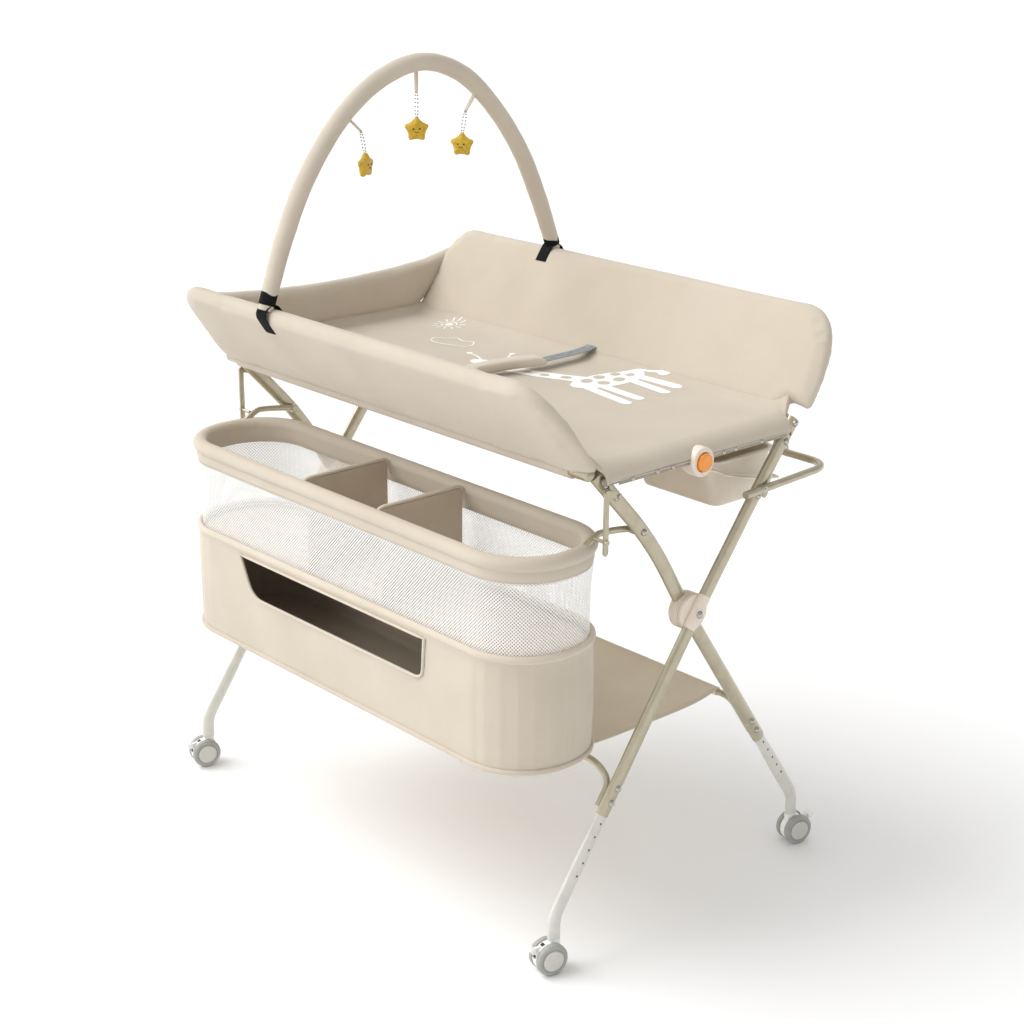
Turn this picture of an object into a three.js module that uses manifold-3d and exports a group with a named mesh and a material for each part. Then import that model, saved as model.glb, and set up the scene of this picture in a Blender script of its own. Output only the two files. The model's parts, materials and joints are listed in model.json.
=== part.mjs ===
// Folding changing table on four casters, in millimetres.
// X runs along the table, with the padded end wall at -X. -Y is the front, where the
// basket hangs. +Z is up. Heights are counted from a datum 10 mm above the floor.
// Two scissor frames, one at each end, carry a padded tray between a front tube and a
// rear tube. Inner legs run from the top front to the bottom rear, outer legs from the
// top rear to the bottom front, and both turn about the hub in the middle.
import * as THREE from 'three';
import { mergeVertices } from 'three/addons/utils/BufferGeometryUtils.js';
import ManifoldModule from 'manifold-3d';

const wasm = await ManifoldModule();
wasm.setup();
const { Manifold, Mesh: ManifoldMesh } = wasm;

// ---- driving dimensions -------------------------------------------------------------
const INNER_X = 401; // centre plane of the inner legs
const OUTER_X = 423; // centre plane of the outer legs
const LEG_T = 7; // half thickness of a leg tube, across the frame
const LEG_W = 11; // half width of a leg tube, along the frame
const WALL = 1.3; // wall of the leg tube
const SLIP = 0.35; // running gap between parts
const HUB_Z = 450;
const HUB_R = 27;
const PIN_R = 4;
const GROUND = -10; // the floor, below the datum
const FOOT_END = [263, 72]; // bend of the foot, out from the hub's plane, and its height
const STUB_H = 50; // height of the foot's upright stub above the floor, clear of the wheels
const LEG_CUT_Z = 197; // where the upper tube ends and the foot shows
const INNER_TOP = [[0, 450], [-68, 563], [-172, 675], [-182, 686]];
const OUTER_TOP = [[0, 450], [112, 598], [185, 691], [195, 704]];
const FRONT_TUBE = [-197, 690]; // y, z of the long front tube
const REAR_TUBE = [187, 691];
const TUBE_R = 10;
const RAIL_Z = 676; // pivots of the folding end rails
const RAIL_FRONT_Y = -172;
const RAIL_LOCK_Y = -12;
const RAIL_REAR_Y = 168;
const DECK_Z = [697, 705];
const DECK_ENDS = [-418, 430];
const FRONT_LEAN = [95, 132]; // run and rise of the front wall, up its middle
const REAR_LEAN = [97, 150];
const PAD = 12; // half thickness of a padded wall
const END_WALL_X = -413;
const END_WALL_TOP = 800;
const ARCH_X = -172;
const ARCH_R = 14;
const ARCH_TOP = 1152;
const BASKET_Y = -220;
const BASKET_L = 405; // half length
const BASKET_W = 100; // half width, also the end radius less a little
const RIM_Z = [548, 588];
const BIN_Z = [278, 446];
const FLOOR_Z = 436;
const WHEEL_R = 23.5;
const CASTER_YAW = -0.26; // heading of the casters' axles, from +X
const SHELF_Z = 257;

// ---- colours and finishes -----------------------------------------------------------
const finish = (color, roughness, metalness = 0) =>
  new THREE.MeshStandardMaterial({ color, roughness, metalness });
const FABRIC = () => finish(0xdccdb9, 0.9);
const TUBE = () => finish(0xd6ccae, 0.35, 0.25);
const FOOT = () => finish(0xefece0, 0.35);
const PLASTIC = () => finish(0xe2d6c6, 0.45);
const WHITE = () => finish(0xf1f0ec, 0.4);

// ---- solid helpers --------------------------------------------------------------------
function toSolid(geometry) {
  let g = geometry.clone();
  for (const k of Object.keys(g.attributes)) if (k !== 'position') g.deleteAttribute(k);
  g = mergeVertices(g, 1e-4);
  return Manifold.ofMesh(new ManifoldMesh({
    numProp: 3,
    vertProperties: new Float32Array(g.attributes.position.array),
    triVerts: new Uint32Array(g.index.array),
  }));
}

function toGeometry(solid) {
  const m = solid.getMesh();
  const g = new THREE.BufferGeometry();
  g.setAttribute('position', new THREE.BufferAttribute(new Float32Array(m.vertProperties), 3));
  g.setIndex(new THREE.BufferAttribute(new Uint32Array(m.triVerts), 1));
  const flat = g.toNonIndexed();
  flat.computeVertexNormals();
  return flat;
}

const joinAll = (solids) => solids.slice(1).reduce((a, b) => a.add(b), solids[0]);
const cutAll = (solid, tools) => tools.reduce((a, b) => a.subtract(b), solid);

// A box given by its low and high corners.
function box(lo, hi) {
  const s = [0, 1, 2].map((i) => hi[i] - lo[i]);
  return toSolid(new THREE.BoxGeometry(...s)
    .translate(...[0, 1, 2].map((i) => (hi[i] + lo[i]) / 2)));
}

// A round bar between two points.
function rod(a, b, r, sides = 14) {
  const p = new THREE.Vector3(...a), q = new THREE.Vector3(...b);
  const d = q.clone().sub(p);
  const g = new THREE.CylinderGeometry(r, r, d.length(), sides);
  g.applyQuaternion(new THREE.Quaternion().setFromUnitVectors(
    new THREE.Vector3(0, 1, 0), d.clone().normalize()));
  const c = p.add(q).multiplyScalar(0.5);
  return toSolid(g.translate(c.x, c.y, c.z));
}

// A path through given corners with round bends, sampled only where it bends.
class BentPath extends THREE.Curve {
  constructor(corners, bend, perBend = 4) {
    super();
    const c = corners.map((p) => new THREE.Vector3(...p));
    const stations = [c[0]];
    for (let i = 1; i < c.length - 1; i += 1) {
      const a = c[i - 1].clone().sub(c[i]), b = c[i + 1].clone().sub(c[i]);
      const reach = Math.min(bend, a.length() * 0.48, b.length() * 0.48);
      a.setLength(reach).add(c[i]);
      b.setLength(reach).add(c[i]);
      for (let k = 0; k <= perBend; k += 1) {
        const t = k / perBend;
        stations.push(a.clone().multiplyScalar((1 - t) ** 2)
          .addScaledVector(c[i], 2 * t * (1 - t)).addScaledVector(b, t * t));
      }
    }
    stations.push(c[c.length - 1]);
    this.stations = stations;
  }

  getPoint(t) {
    const n = this.stations.length - 1;
    const k = Math.min(n - 1, Math.floor(t * n));
    return this.stations[k].clone().lerp(this.stations[k + 1], t * n - k);
  }

  getPointAt(u) { return this.getPoint(u); }

  getTangentAt(u) {
    const n = this.stations.length - 1;
    const k = Math.round(u * n);
    const a = this.stations[Math.max(0, k - 1)], b = this.stations[Math.min(n, k + 1)];
    return b.clone().sub(a).normalize();
  }

  getSpacedPoints() { return this.stations.map((p) => p.clone()); }
}

// A section swept along a bent path.
function sweep(corners, section, bend = 30, perBend = 4) {
  const path = new BentPath(corners, bend, perBend);
  return toSolid(new THREE.ExtrudeGeometry(section, {
    steps: path.stations.length - 1, extrudePath: path, curveSegments: 12,
  }));
}

function oval(a, b, sides = 14) {
  const pts = [];
  for (let i = 0; i < sides; i += 1) {
    const t = (2 * Math.PI * (i + 0.5)) / sides;
    pts.push(new THREE.Vector2(a * Math.cos(t), b * Math.sin(t)));
  }
  return new THREE.Shape(pts);
}
const round = (r, sides = 12) => oval(r, r, sides);

// An outline in the Y-Z plane, given thickness between two X planes.
function slabX(outline, x0, x1) {
  const g = new THREE.ExtrudeGeometry(new THREE.Shape(outline.map((p) => new THREE.Vector2(...p))),
    { depth: x1 - x0, bevelEnabled: false });
  g.applyMatrix4(new THREE.Matrix4().makeBasis(
    new THREE.Vector3(0, 1, 0), new THREE.Vector3(0, 0, 1), new THREE.Vector3(1, 0, 0)));
  return toSolid(g.translate(x0, 0, 0));
}

// A long rounded plan shape with straight sides, as a point list.
function stadium(halfL, halfW, r, cy, perCorner = 7) {
  const pts = [];
  const corners = [[1, 1, 0], [-1, 1, 1], [-1, -1, 2], [1, -1, 3]];
  for (const [sx, sy, q] of corners) {
    for (let i = 0; i <= perCorner; i += 1) {
      const t = (q + i / perCorner) * Math.PI / 2;
      pts.push(new THREE.Vector2(sx * (halfL - r) + r * Math.cos(t),
        cy + sy * (halfW - r) + r * Math.sin(t)));
    }
  }
  return pts;
}

// A closed ring wall standing on a plan outline.
function ringWall(halfL, halfW, r, cy, thick, z0, z1, perCorner = 6) {
  const s = new THREE.Shape(stadium(halfL, halfW, r, cy, perCorner));
  s.holes.push(new THREE.Path(stadium(halfL - thick, halfW - thick, r - thick, cy, perCorner)));
  return toSolid(new THREE.ExtrudeGeometry(s, { depth: z1 - z0, bevelEnabled: false })
    .translate(0, 0, z0));
}

function plate(pts, z0, z1) {
  return toSolid(new THREE.ExtrudeGeometry(new THREE.Shape(pts),
    { depth: z1 - z0, bevelEnabled: false }).translate(0, 0, z0));
}

const mirrorX = (solid) => solid.mirror([1, 0, 0]);

// ---- scene ---------------------------------------------------------------------------
const table = new THREE.Group();
table.name = 'changing_table';
function part(name, solid, material) {
  const m = new THREE.Mesh(toGeometry(solid), material);
  m.name = name;
  table.add(m);
}
// One part at the right end and its mirror twin at the left end.
function pair(name, solid, material) {
  part(`${name}_R`, solid, material());
  part(`${name}_L`, mirrorX(solid), material());
}

// ---- legs, hubs and feet ----------------------------------------------------------------
const at = (x, pts) => pts.map(([y, z]) => [x, y, z]);
const footDir = (() => { // unit vector down the lower leg, as run and rise
  const d = Math.hypot(FOOT_END[0], FOOT_END[1] - HUB_Z);
  return [FOOT_END[0] / d, (FOOT_END[1] - HUB_Z) / d];
})();
// A point on the lower leg at a given height; side is +1 at the rear, -1 at the front.
const onFoot = (side, z) =>
  [side * (HUB_Z - z) * (footDir[0] / -footDir[1]), z];

function boltHead(x, y, z) {
  return rod([x - 1.5, y, z], [x + 2.6, y, z], 3.6, 8);
}

function upperLeg(x, top, side, bolts) {
  const end = onFoot(side, LEG_CUT_Z);
  const tube = sweep(at(x, [...top].reverse().concat([end])), oval(LEG_T, LEG_W), 26);
  const bore = sweep(at(x, [onFoot(side, 392), onFoot(side, LEG_CUT_Z - 12)]),
    oval(LEG_T - WALL, LEG_W - WALL));
  const pin = rod([x - 30, 0, HUB_Z], [x + 30, 0, HUB_Z], PIN_R + SLIP, 16);
  const heads = bolts.map(([y, z]) => boltHead(x + LEG_T, y, z));
  return cutAll(joinAll([tube, ...heads]), [bore, pin]);
}

// The pale clamp that wraps an outer leg at the hub.
function hubSleeve() {
  const a = onFoot(-1, HUB_Z - 20), b = [17, 472];
  const path = at(OUTER_X, [a, [0, HUB_Z], b]);
  return joinAll([sweep(path, oval(LEG_T + 2.2, LEG_W + 2.4), 12, 2),
    rod([OUTER_X - LEG_T - 2.2, 0, HUB_Z], [OUTER_X + 5, 0, HUB_Z], HUB_R, 28)]);
}

function foot(x, side) {
  const [fy, fz] = FOOT_END;
  const start = onFoot(side, 285);
  const stub = STUB_H + GROUND;
  const tube = sweep([[x, start[0], start[1]], [x, side * fy, fz], [x, side * fy, stub]],
    oval(LEG_T - WALL - SLIP, LEG_W - WALL - SLIP), 26, 4);
  const holes = [];
  for (let i = 0; i < 5; i += 1) {
    const p = onFoot(side, 188 - i * 16);
    holes.push(rod([x + 2, p[0], p[1]], [x + 9, p[0], p[1]], 2.2, 8));
  }
  const stem = rod([x, side * fy, stub - 5], [x, side * fy, stub + 24], 3 + SLIP, 10);
  return cutAll(tube, [...holes, stem]);
}

function hubDisc() {
  const disc = rod([INNER_X + LEG_T + 1.9, 0, HUB_Z], [OUTER_X - LEG_T - 2.7, 0, HUB_Z], HUB_R, 28);
  const pin = rod([INNER_X - 16, 0, HUB_Z], [OUTER_X + LEG_T + 3.4, 0, HUB_Z], PIN_R, 16);
  const head = rod([OUTER_X + LEG_T + 2.8, 0, HUB_Z], [OUTER_X + LEG_T + 6, 0, HUB_Z], 6, 14);
  return joinAll([disc, pin, head]);
}

// Round cover that wraps the inner leg, closed by a thin web on its outer side.
function hubCover() {
  const face = INNER_X + LEG_T + SLIP;
  const drum = rod([INNER_X - 2, 0, HUB_Z], [face + 1.2, 0, HUB_Z], HUB_R, 28);
  const slot = sweep(at(INNER_X - 0.2, [onFoot(1, HUB_Z - 40), [0, HUB_Z], [-34, 506.5]]),
    oval(LEG_T + SLIP, LEG_W + SLIP), 26);
  const open = slot.add(slot.translate([-6, 0, 0])).intersect(box([INNER_X - 30, -60, HUB_Z - 60],
    [face, 60, HUB_Z + 60]));
  const pin = rod([INNER_X - 30, 0, HUB_Z], [INNER_X + 30, 0, HUB_Z], PIN_R + SLIP, 16);
  return cutAll(drum, [open, pin]);
}

const innerBolts = [[-93, 587], onFoot(1, 232), onFoot(1, 214)];
const outerBolts = [[185, 691], [167, 668], [113, 599], onFoot(-1, 232), onFoot(-1, 214)];
pair('leg_inner', upperLeg(INNER_X, INNER_TOP, 1, innerBolts), TUBE);
pair('leg_outer', cutAll(joinAll([upperLeg(OUTER_X, OUTER_TOP, -1, outerBolts), hubSleeve()]),
  [rod([OUTER_X - 30, 0, HUB_Z], [OUTER_X + 30, 0, HUB_Z], PIN_R + SLIP, 16)]), TUBE);
pair('hub_disc', hubDisc(), PLASTIC);
pair('hub_cover', hubCover(), PLASTIC);
pair('foot_rear', foot(INNER_X, 1), FOOT);
pair('foot_front', foot(OUTER_X, -1), FOOT);

// ---- casters --------------------------------------------------------------------------------
// Built at the origin with the axle along X and the stem on the Z axis, then set in place.
const AXLE_Y = 8; // trail of the wheels behind the stem
function casterHousing() {
  const hood = rod([-5.5, AXLE_Y, WHEEL_R], [5.5, AXLE_Y, WHEEL_R], 19, 20)
    .intersect(box([-8, -20, 6], [8, 40, 44]));
  const seat = rod([0, 0, WHEEL_R], [0, 0, STUB_H - 0.6], 9, 16)
    .intersect(box([-5.5, -10, 20], [5.5, 10, 60]));
  const stem = rod([0, 0, 30], [0, 0, STUB_H + 22], 3, 10);
  const stubRoom = box([-9, -14, STUB_H - 0.6], [9, 10.4, 60]);
  const bore = rod([-9, AXLE_Y, WHEEL_R], [9, AXLE_Y, WHEEL_R], 4.4, 14);
  const leverSlot = box([-3.3, 9, 30], [3.3, 40, 50]);
  return joinAll([hood.subtract(stubRoom), seat, stem]).subtract(bore).subtract(leverSlot);
}
function casterWheels() {
  const one = (s) => joinAll([
    rod([s * 6, AXLE_Y, WHEEL_R], [s * 16, AXLE_Y, WHEEL_R], WHEEL_R, 22),
    rod([s * 15, AXLE_Y, WHEEL_R], [s * 18, AXLE_Y, WHEEL_R], 15.5, 16),
  ]);
  return joinAll([one(1), one(-1), rod([-10, AXLE_Y, WHEEL_R], [10, AXLE_Y, WHEEL_R], 3.8, 14)]);
}
function casterBrake() {
  const arm = slabX([[11, 34], [22, 33], [33, 36], [34.5, 40], [22, 42.5], [11, 40]], -2.9, 2.9);
  const pad = slabX([[30.5, 34.6], [36, 36], [40, 41], [38, 43.5], [30.5, 42]], -6.5, 6.5);
  return joinAll([arm, pad]);
}
const casterSpots = [
  ['front_R', OUTER_X, -1, CASTER_YAW + Math.PI], ['front_L', -OUTER_X, -1, CASTER_YAW + Math.PI],
  ['rear_R', INNER_X, 1, CASTER_YAW], ['rear_L', -INNER_X, 1, CASTER_YAW],
];
for (const [where, x, side, yaw] of casterSpots) {
  const set = (s) => s.rotate([0, 0, yaw * 180 / Math.PI]).translate([x, side * FOOT_END[0], GROUND]);
  part(`caster_${where}`, set(casterHousing()), WHITE());
  part(`wheels_${where}`, set(casterWheels()), finish(0xb9b9b3, 0.6));
  part(`brake_${where}`, set(casterBrake()), WHITE());
}

// ---- long tubes and the padded tray ------------------------------------------------------------
function longTube([y, z], half) {
  const caps = [-1, 1].map((s) => rod([s * (half - 4), y, z], [s * (half + 2), y, z], TUBE_R - 1.5));
  return joinAll([rod([-half, y, z], [half, y, z], TUBE_R, 20), ...caps]);
}
part('front_tube', longTube(FRONT_TUBE, INNER_X + 5), TUBE());
part('rear_tube', longTube(REAR_TUBE, INNER_X + 10), TUBE());

// A padded side wall: a rounded slab that leans outward, with a sleeve over its tube.
function sideWall(side, [ty, tz], [run, rise]) {
  const out = new THREE.Shape();
  const h = Math.hypot(run, rise) - 3;
  out.moveTo(-397, 0);
  out.lineTo(391, 0);
  out.lineTo(396, 26);
  out.lineTo(429, 30);
  out.bezierCurveTo(420, h * 0.62, 432, h - 4, 352, h);
  out.lineTo(-346, h);
  out.bezierCurveTo(-394, h - 2, -396, h * 0.7, -401, 30);
  const bev = 8;
  const g = new THREE.ExtrudeGeometry(out, {
    depth: 2 * (PAD - bev), bevelEnabled: true, bevelThickness: bev, bevelSize: bev,
    bevelOffset: -bev, bevelSegments: 3, curveSegments: 7,
  });
  g.translate(0, 0, -(PAD - bev));
  const up = new THREE.Vector3(0, side * run, rise).normalize();
  const nrm = new THREE.Vector3(1, 0, 0).cross(up);
  g.applyMatrix4(new THREE.Matrix4().makeBasis(new THREE.Vector3(1, 0, 0), up, nrm));
  const slab = toSolid(g.translate(0, ty + side * 2, tz + 2));
  const sleeve = rod([-378, ty, tz], [378, ty, tz], TUBE_R + 3, 18);
  const clear = [-1, 1].map((s) => box([s > 0 ? 378 : -440, ty - 22, tz - 20],
    [s > 0 ? 440 : -378, ty + 22, tz + 22]));
  return cutAll(joinAll([slab, sleeve]), [rod([-500, ty, tz], [500, ty, tz], TUBE_R + SLIP, 18),
    ...clear]);
}
part('front_wall', sideWall(-1, FRONT_TUBE, FRONT_LEAN), FABRIC());
part('rear_wall', sideWall(1, REAR_TUBE, REAR_LEAN), FABRIC());

function endWall() { // its top edge dips in the middle
  const low = DECK_Z[1] + 0.5, base = 176;
  const top = [];
  for (let i = 0; i <= 8; i += 1) {
    const t = 1 - i / 4;
    top.push([t * (t > 0 ? 268 : 258), END_WALL_TOP - 16 * (1 - t * t)]);
  }
  return slabX([[-base, low], [base, low], [262, END_WALL_TOP - 20], ...top,
    [-252, END_WALL_TOP - 20]], END_WALL_X - 11, END_WALL_X + 11);
}
part('end_wall', endWall(), FABRIC());

// The sling's deck, with a lip turned down over each end rail.
function deck() {
  const [x0, x1] = DECK_ENDS, mid = (x0 + x1) / 2;
  const flat = plate(stadium((x1 - x0) / 2, 176, 14, -5, 3), ...DECK_Z).translate([mid, 0, 0]);
  const lip = (x) => box([x, -164, DECK_Z[0] - 3], [x + 3, 154, DECK_Z[0] + 4]);
  return joinAll([flat, lip(x0 + 0.5), lip(x1 - 3.5)]);
}
part('deck', deck(), FABRIC());

// A band of constant thickness that follows a line of y, z points, wide along X.
function band(line, thick, x0, x1) {
  const low = line.map(([y, z]) => [y, z - thick / 2]);
  const high = line.map(([y, z]) => [y, z + thick / 2]).reverse();
  return slabX([...low, ...high], x0, x1);
}
// The safety belt crosses the deck from front to rear: a padded cover on a webbing strap.
part('belt_pad', band([[-46, 710], [-38, 711], [20, 713.5], [78, 713.5], [84, 712.5]], 6, -13, 15),
  FABRIC());
part('belt_strap', joinAll([
  band([[-172, 708.2], [-80, 708.2], [-46.6, 709.5]], 1.8, -10, 12),
  band([[84.6, 713], [120, 715], [150, 712], [170, 708.2]], 1.8, -10, 12),
  band([[-60, 706.4], [90, 706.4]], 0.8, -3, 5),
  band([[-60, 706.2], [-56, 709]], 2, -3, 5), band([[84.8, 706.2], [88.5, 713]], 2, -3, 5),
]), finish(0x8f9294, 0.7));

// ---- folding end rails with their locks ----------------------------------------------------------
function railBar(x0, x1, y0, y1) {
  const r = 6.5, pts = [];
  for (let i = 0; i <= 8; i += 1) {
    const t = Math.PI / 2 + (Math.PI * i) / 8;
    pts.push([y0 + r * Math.cos(t), RAIL_Z + r * Math.sin(t)]);
  }
  for (let i = 0; i <= 8; i += 1) {
    const t = -Math.PI / 2 + (Math.PI * i) / 8;
    pts.push([y1 + r * Math.cos(t), RAIL_Z + r * Math.sin(t)]);
  }
  return slabX(pts, x0, x1);
}
const RAIL_IN = [408.6, 411.6]; // the two halves of an end rail, side by side in X
const RAIL_OUT = [412.2, 415.2];
const LOCK_FACE = 438;
pair('rail_front', joinAll([railBar(...RAIL_IN, RAIL_FRONT_Y, RAIL_LOCK_Y)]), () => finish(0x4a4742, 0.5, 0.4));
function lockRail() {
  const bar = railBar(...RAIL_OUT, RAIL_LOCK_Y, RAIL_REAR_Y);
  const drum = rod([RAIL_OUT[0] + 0.5, RAIL_LOCK_Y, RAIL_Z], [LOCK_FACE - 6, RAIL_LOCK_Y, RAIL_Z], 14, 24);
  const ring = rod([LOCK_FACE - 8, RAIL_LOCK_Y, RAIL_Z], [LOCK_FACE, RAIL_LOCK_Y, RAIL_Z], 16.5, 28);
  const well = rod([LOCK_FACE - 16, RAIL_LOCK_Y, RAIL_Z], [LOCK_FACE + 5, RAIL_LOCK_Y, RAIL_Z], 11.4, 24);
  return cutAll(joinAll([bar, drum, ring]), [well]);
}
pair('rail_rear', lockRail(), PLASTIC);
pair('button', rod([LOCK_FACE - 10, RAIL_LOCK_Y, RAIL_Z], [LOCK_FACE + 3, RAIL_LOCK_Y, RAIL_Z], 11, 24),
  () => finish(0xf0932b, 0.4));

// ---- basket ----------------------------------------------------------------------------------------
// Carries the basket's end on the inner leg.
const BAR_LINE = [[388, -93, 587], [388, -118, 592], [390, -150, 596], [390, -168, 594],
  [389.5, -206, 572]];
function basketBar() {
  const eye = rod([381.5, -93, 587], [393.7, -93, 587], 7, 14);
  return joinAll([sweep(BAR_LINE, round(4.6), 14, 3), eye]);
}
function basketLink() {
  const bar = slabX([[-147, 650], [-147, 656], [-152, 659], [-174, 666], [-178, 663], [-178, 578],
    [-174, 574], [-170, 578], [-170, 655]], 414.4, 417.4);
  const pin = rod([395.2, -174, 594], [416, -174, 594], 2.6, 10);
  const spacer = rod([INNER_X + LEG_T + SLIP, -152, 653], [416, -152, 653], 3, 10);
  const heads = [[-174, 594], [-152, 653]].map(([y, z]) =>
    rod([416, y, z], [420, y, z], 3.8, 10));
  return joinAll([bar, pin, spacer, ...heads]);
}
function basketRim() {
  const [z0, z1] = RIM_Z;
  const h = z1 - z0;
  const band = (t, a, b) => ringWall(BASKET_L - t, BASKET_W - t, 94 - t, BASKET_Y, 22 - 2 * t, a, b, 6);
  const body = joinAll([band(0, z0 + 2, z1 - 7), band(2.2, z1 - 7.5, z1 - 3), band(5, z1 - 3.5, z1)]);
  return h > 0 ? body : null;
}
const barClear = sweep([...BAR_LINE.slice(0, 4), [389.5, -211, 569]], round(5.2), 14, 3);
part('basket_rim', cutAll(basketRim(), [barClear, mirrorX(barClear)]), FABRIC());
pair('basket_bar', basketBar(), TUBE);
pair('basket_link', basketLink(), TUBE);
part('basket_mesh', ringWall(BASKET_L - 5, BASKET_W - 5, 89, BASKET_Y, 2.4, BIN_Z[1] + 0.6,
  RIM_Z[0] + 1.4, 6), WHITE());

function binOpening() { // pick-out opening in the front of the lower bin
  const s = new THREE.Shape();
  s.moveTo(-225, 432);
  s.lineTo(214, 432);
  s.lineTo(211, 388);
  s.quadraticCurveTo(210, 371, 190, 371);
  s.lineTo(-172, 371);
  s.quadraticCurveTo(-195, 371, -206, 394);
  const g = new THREE.ExtrudeGeometry(s, { depth: 60, bevelEnabled: false, curveSegments: 6 });
  g.rotateX(Math.PI / 2);
  return toSolid(g.translate(0, BASKET_Y - BASKET_W + 40, 0));
}
function basketBin() {
  const [z0, z1] = BIN_Z;
  const wall = ringWall(BASKET_L - 4, BASKET_W - 4, 90, BASKET_Y, 3, z0 + 3, z1 - 8, 6);
  const lip = ringWall(BASKET_L - 2.6, BASKET_W - 2.6, 91, BASKET_Y, 5, z1 - 10, z1, 6);
  const base = plate(stadium(BASKET_L - 6, BASKET_W - 6, 88, BASKET_Y, 6), z0, z0 + 4);
  return cutAll(joinAll([wall, lip, base]), [binOpening()]);
}
part('basket_bin', basketBin(), FABRIC());
function basketInner() { // middle floor with the two dividers sewn to it
  const floor = plate(stadium(BASKET_L - 9, BASKET_W - 9, 86, BASKET_Y, 6), FLOOR_Z - 3, FLOOR_Z);
  const div = [-80, 93].map((x) => box([x - 1.6, BASKET_Y - 76, FLOOR_Z - 1],
    [x + 1.6, BASKET_Y + 76, RIM_Z[1] - 4]));
  return joinAll([floor, ...div]);
}
part('basket_floor_dividers', basketInner(), FABRIC());

// ---- rear rail, washing tub and its wire cradle ---------------------------------------------------------
function rearRail() {
  const x = 436.2, z = 611;
  const u = sweep([[x, 78, z - 2], [x, 258, z + 5], [-x, 258, z + 5], [-x, 78, z - 2]],
    round(5.6, 12), 30, 4);
  const eyes = [1, -1].map((s) => rod([s * 430.6, 113, z - 1], [s * 442, 113, z - 1], 6.4, 12));
  const link = (s) => {
    const a = s > 0 ? 411.2 : -414.4;
    const flat = slabX([[163, 669], [170, 666], [151, 588], [145, 584], [140, 590]], a, a + 3.2);
    return joinAll([flat, rod([s * 413, 146, z], [s * 434, 146, z], 2.6, 10)]);
  };
  return joinAll([u, ...eyes, link(1), link(-1)]);
}
const outerClear = joinAll(outerBolts.slice(0, 3).map(([y, z]) =>
  rod([OUTER_X + LEG_T - 0.2, y, z], [OUTER_X + LEG_T + 3.2, y, z], 4.2, 12)));
part('towel_rail', cutAll(rearRail(), [outerClear, mirrorX(outerClear)]), TUBE());

function tubShape(inset, z0, z1) { // tapered tub body, wider at the rim
  const low = [222 + inset, 372 - inset, 90 + inset, 200 - inset];
  const high = [206 + inset, 379 - inset, 70 + inset, 207 - inset];
  const ringAt = (z) => {
    const t = (z - 571) / 72;
    const [x0, x1, y0, y1] = low.map((v, i) => v + (high[i] - v) * t);
    const r = 20 - inset / 2, pts = [];
    for (let q = 0; q < 4; q += 1) {
      for (let i = 0; i <= 4; i += 1) {
        const a = (q + i / 4) * Math.PI / 2;
        const cx = q === 0 || q === 3 ? x1 - r : x0 + r;
        const cy = q < 2 ? y1 - r : y0 + r;
        pts.push([cx + r * Math.cos(a), cy + r * Math.sin(a), z]);
      }
    }
    return pts;
  };
  return Manifold.hull([...ringAt(z0), ...ringAt(z1)]);
}
function tub() {
  const rim = tubShape(-3, 638, 643);
  return cutAll(joinAll([tubShape(0, 571, 640), rim]), [tubShape(2.5, 574, 660)]);
}
part('tub', tub(), finish(0xc9bfae, 0.4));
// A wire cradle: its side wires run down to the rear, and two hooks go over the rail.
function tubCradle() {
  const wire = round(1.8, 6), front = [63, 635.8];
  const side = (x) => [[x, 102, 620], [x, 162, 604], [x, 214, 594]];
  const [x0, x1] = [199, 385];
  const ring = sweep([[290, ...front], [x0, ...front], ...side(x0), ...side(x1).reverse(),
    [x1, ...front], [291, ...front]], wire, 16, 3);
  const shut = rod([288, ...front], [293, ...front], 1.8, 8);
  const hook = (x) => sweep([[x, 214, 594], [x, 240, 606], [x, 250, 626], [x, 267, 628],
    [x, 270, 612]], wire, 9, 3);
  return joinAll([ring, shut, hook(230), hook(350)]);
}
const barGap = rod([-400, 258, 616], [400, 258, 616], 5.6 + SLIP, 14);
part('tub_cradle', tubCradle().subtract(barGap), finish(0xe4ddc9, 0.3, 0.3));

// ---- lower shelf --------------------------------------------------------------------------------------------
function shelfBar(side) {
  const x = side < 0 ? OUTER_X - LEG_T - 5.6 : INNER_X - LEG_T - 5.6;
  const low = onFoot(side, 205), high = onFoot(side, 236);
  const near = (s) => [[s * x, low[0], low[1]], [s * x, high[0], high[1]],
    [s * (x - 24), side * 151, SHELF_Z], [s * (x - 70), side * 151, SHELF_Z]];
  return sweep([...near(1), ...near(-1).reverse()], round(5, 10), 22, 3);
}
part('shelf_bar_front', shelfBar(-1), TUBE());
part('shelf_bar_rear', shelfBar(1), TUBE());
part('shelf_cloth', plate(stadium(338, 145.4, 10, 0, 2), SHELF_Z - 1.2, SHELF_Z + 1.2), FABRIC());

// ---- toy arch ---------------------------------------------------------------------------------------------------
// Centre line of the arch, from the front foot over the top to the rear foot, as y and z.
const ARCH_LINE = [[-280, 852], [-256, 916], [-214, 999], [-150, 1079], [-77, 1131], [5, ARCH_TOP],
  [84, 1129], [150, 1073], [205, 1002], [244, 926], [271, 862]];
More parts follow.
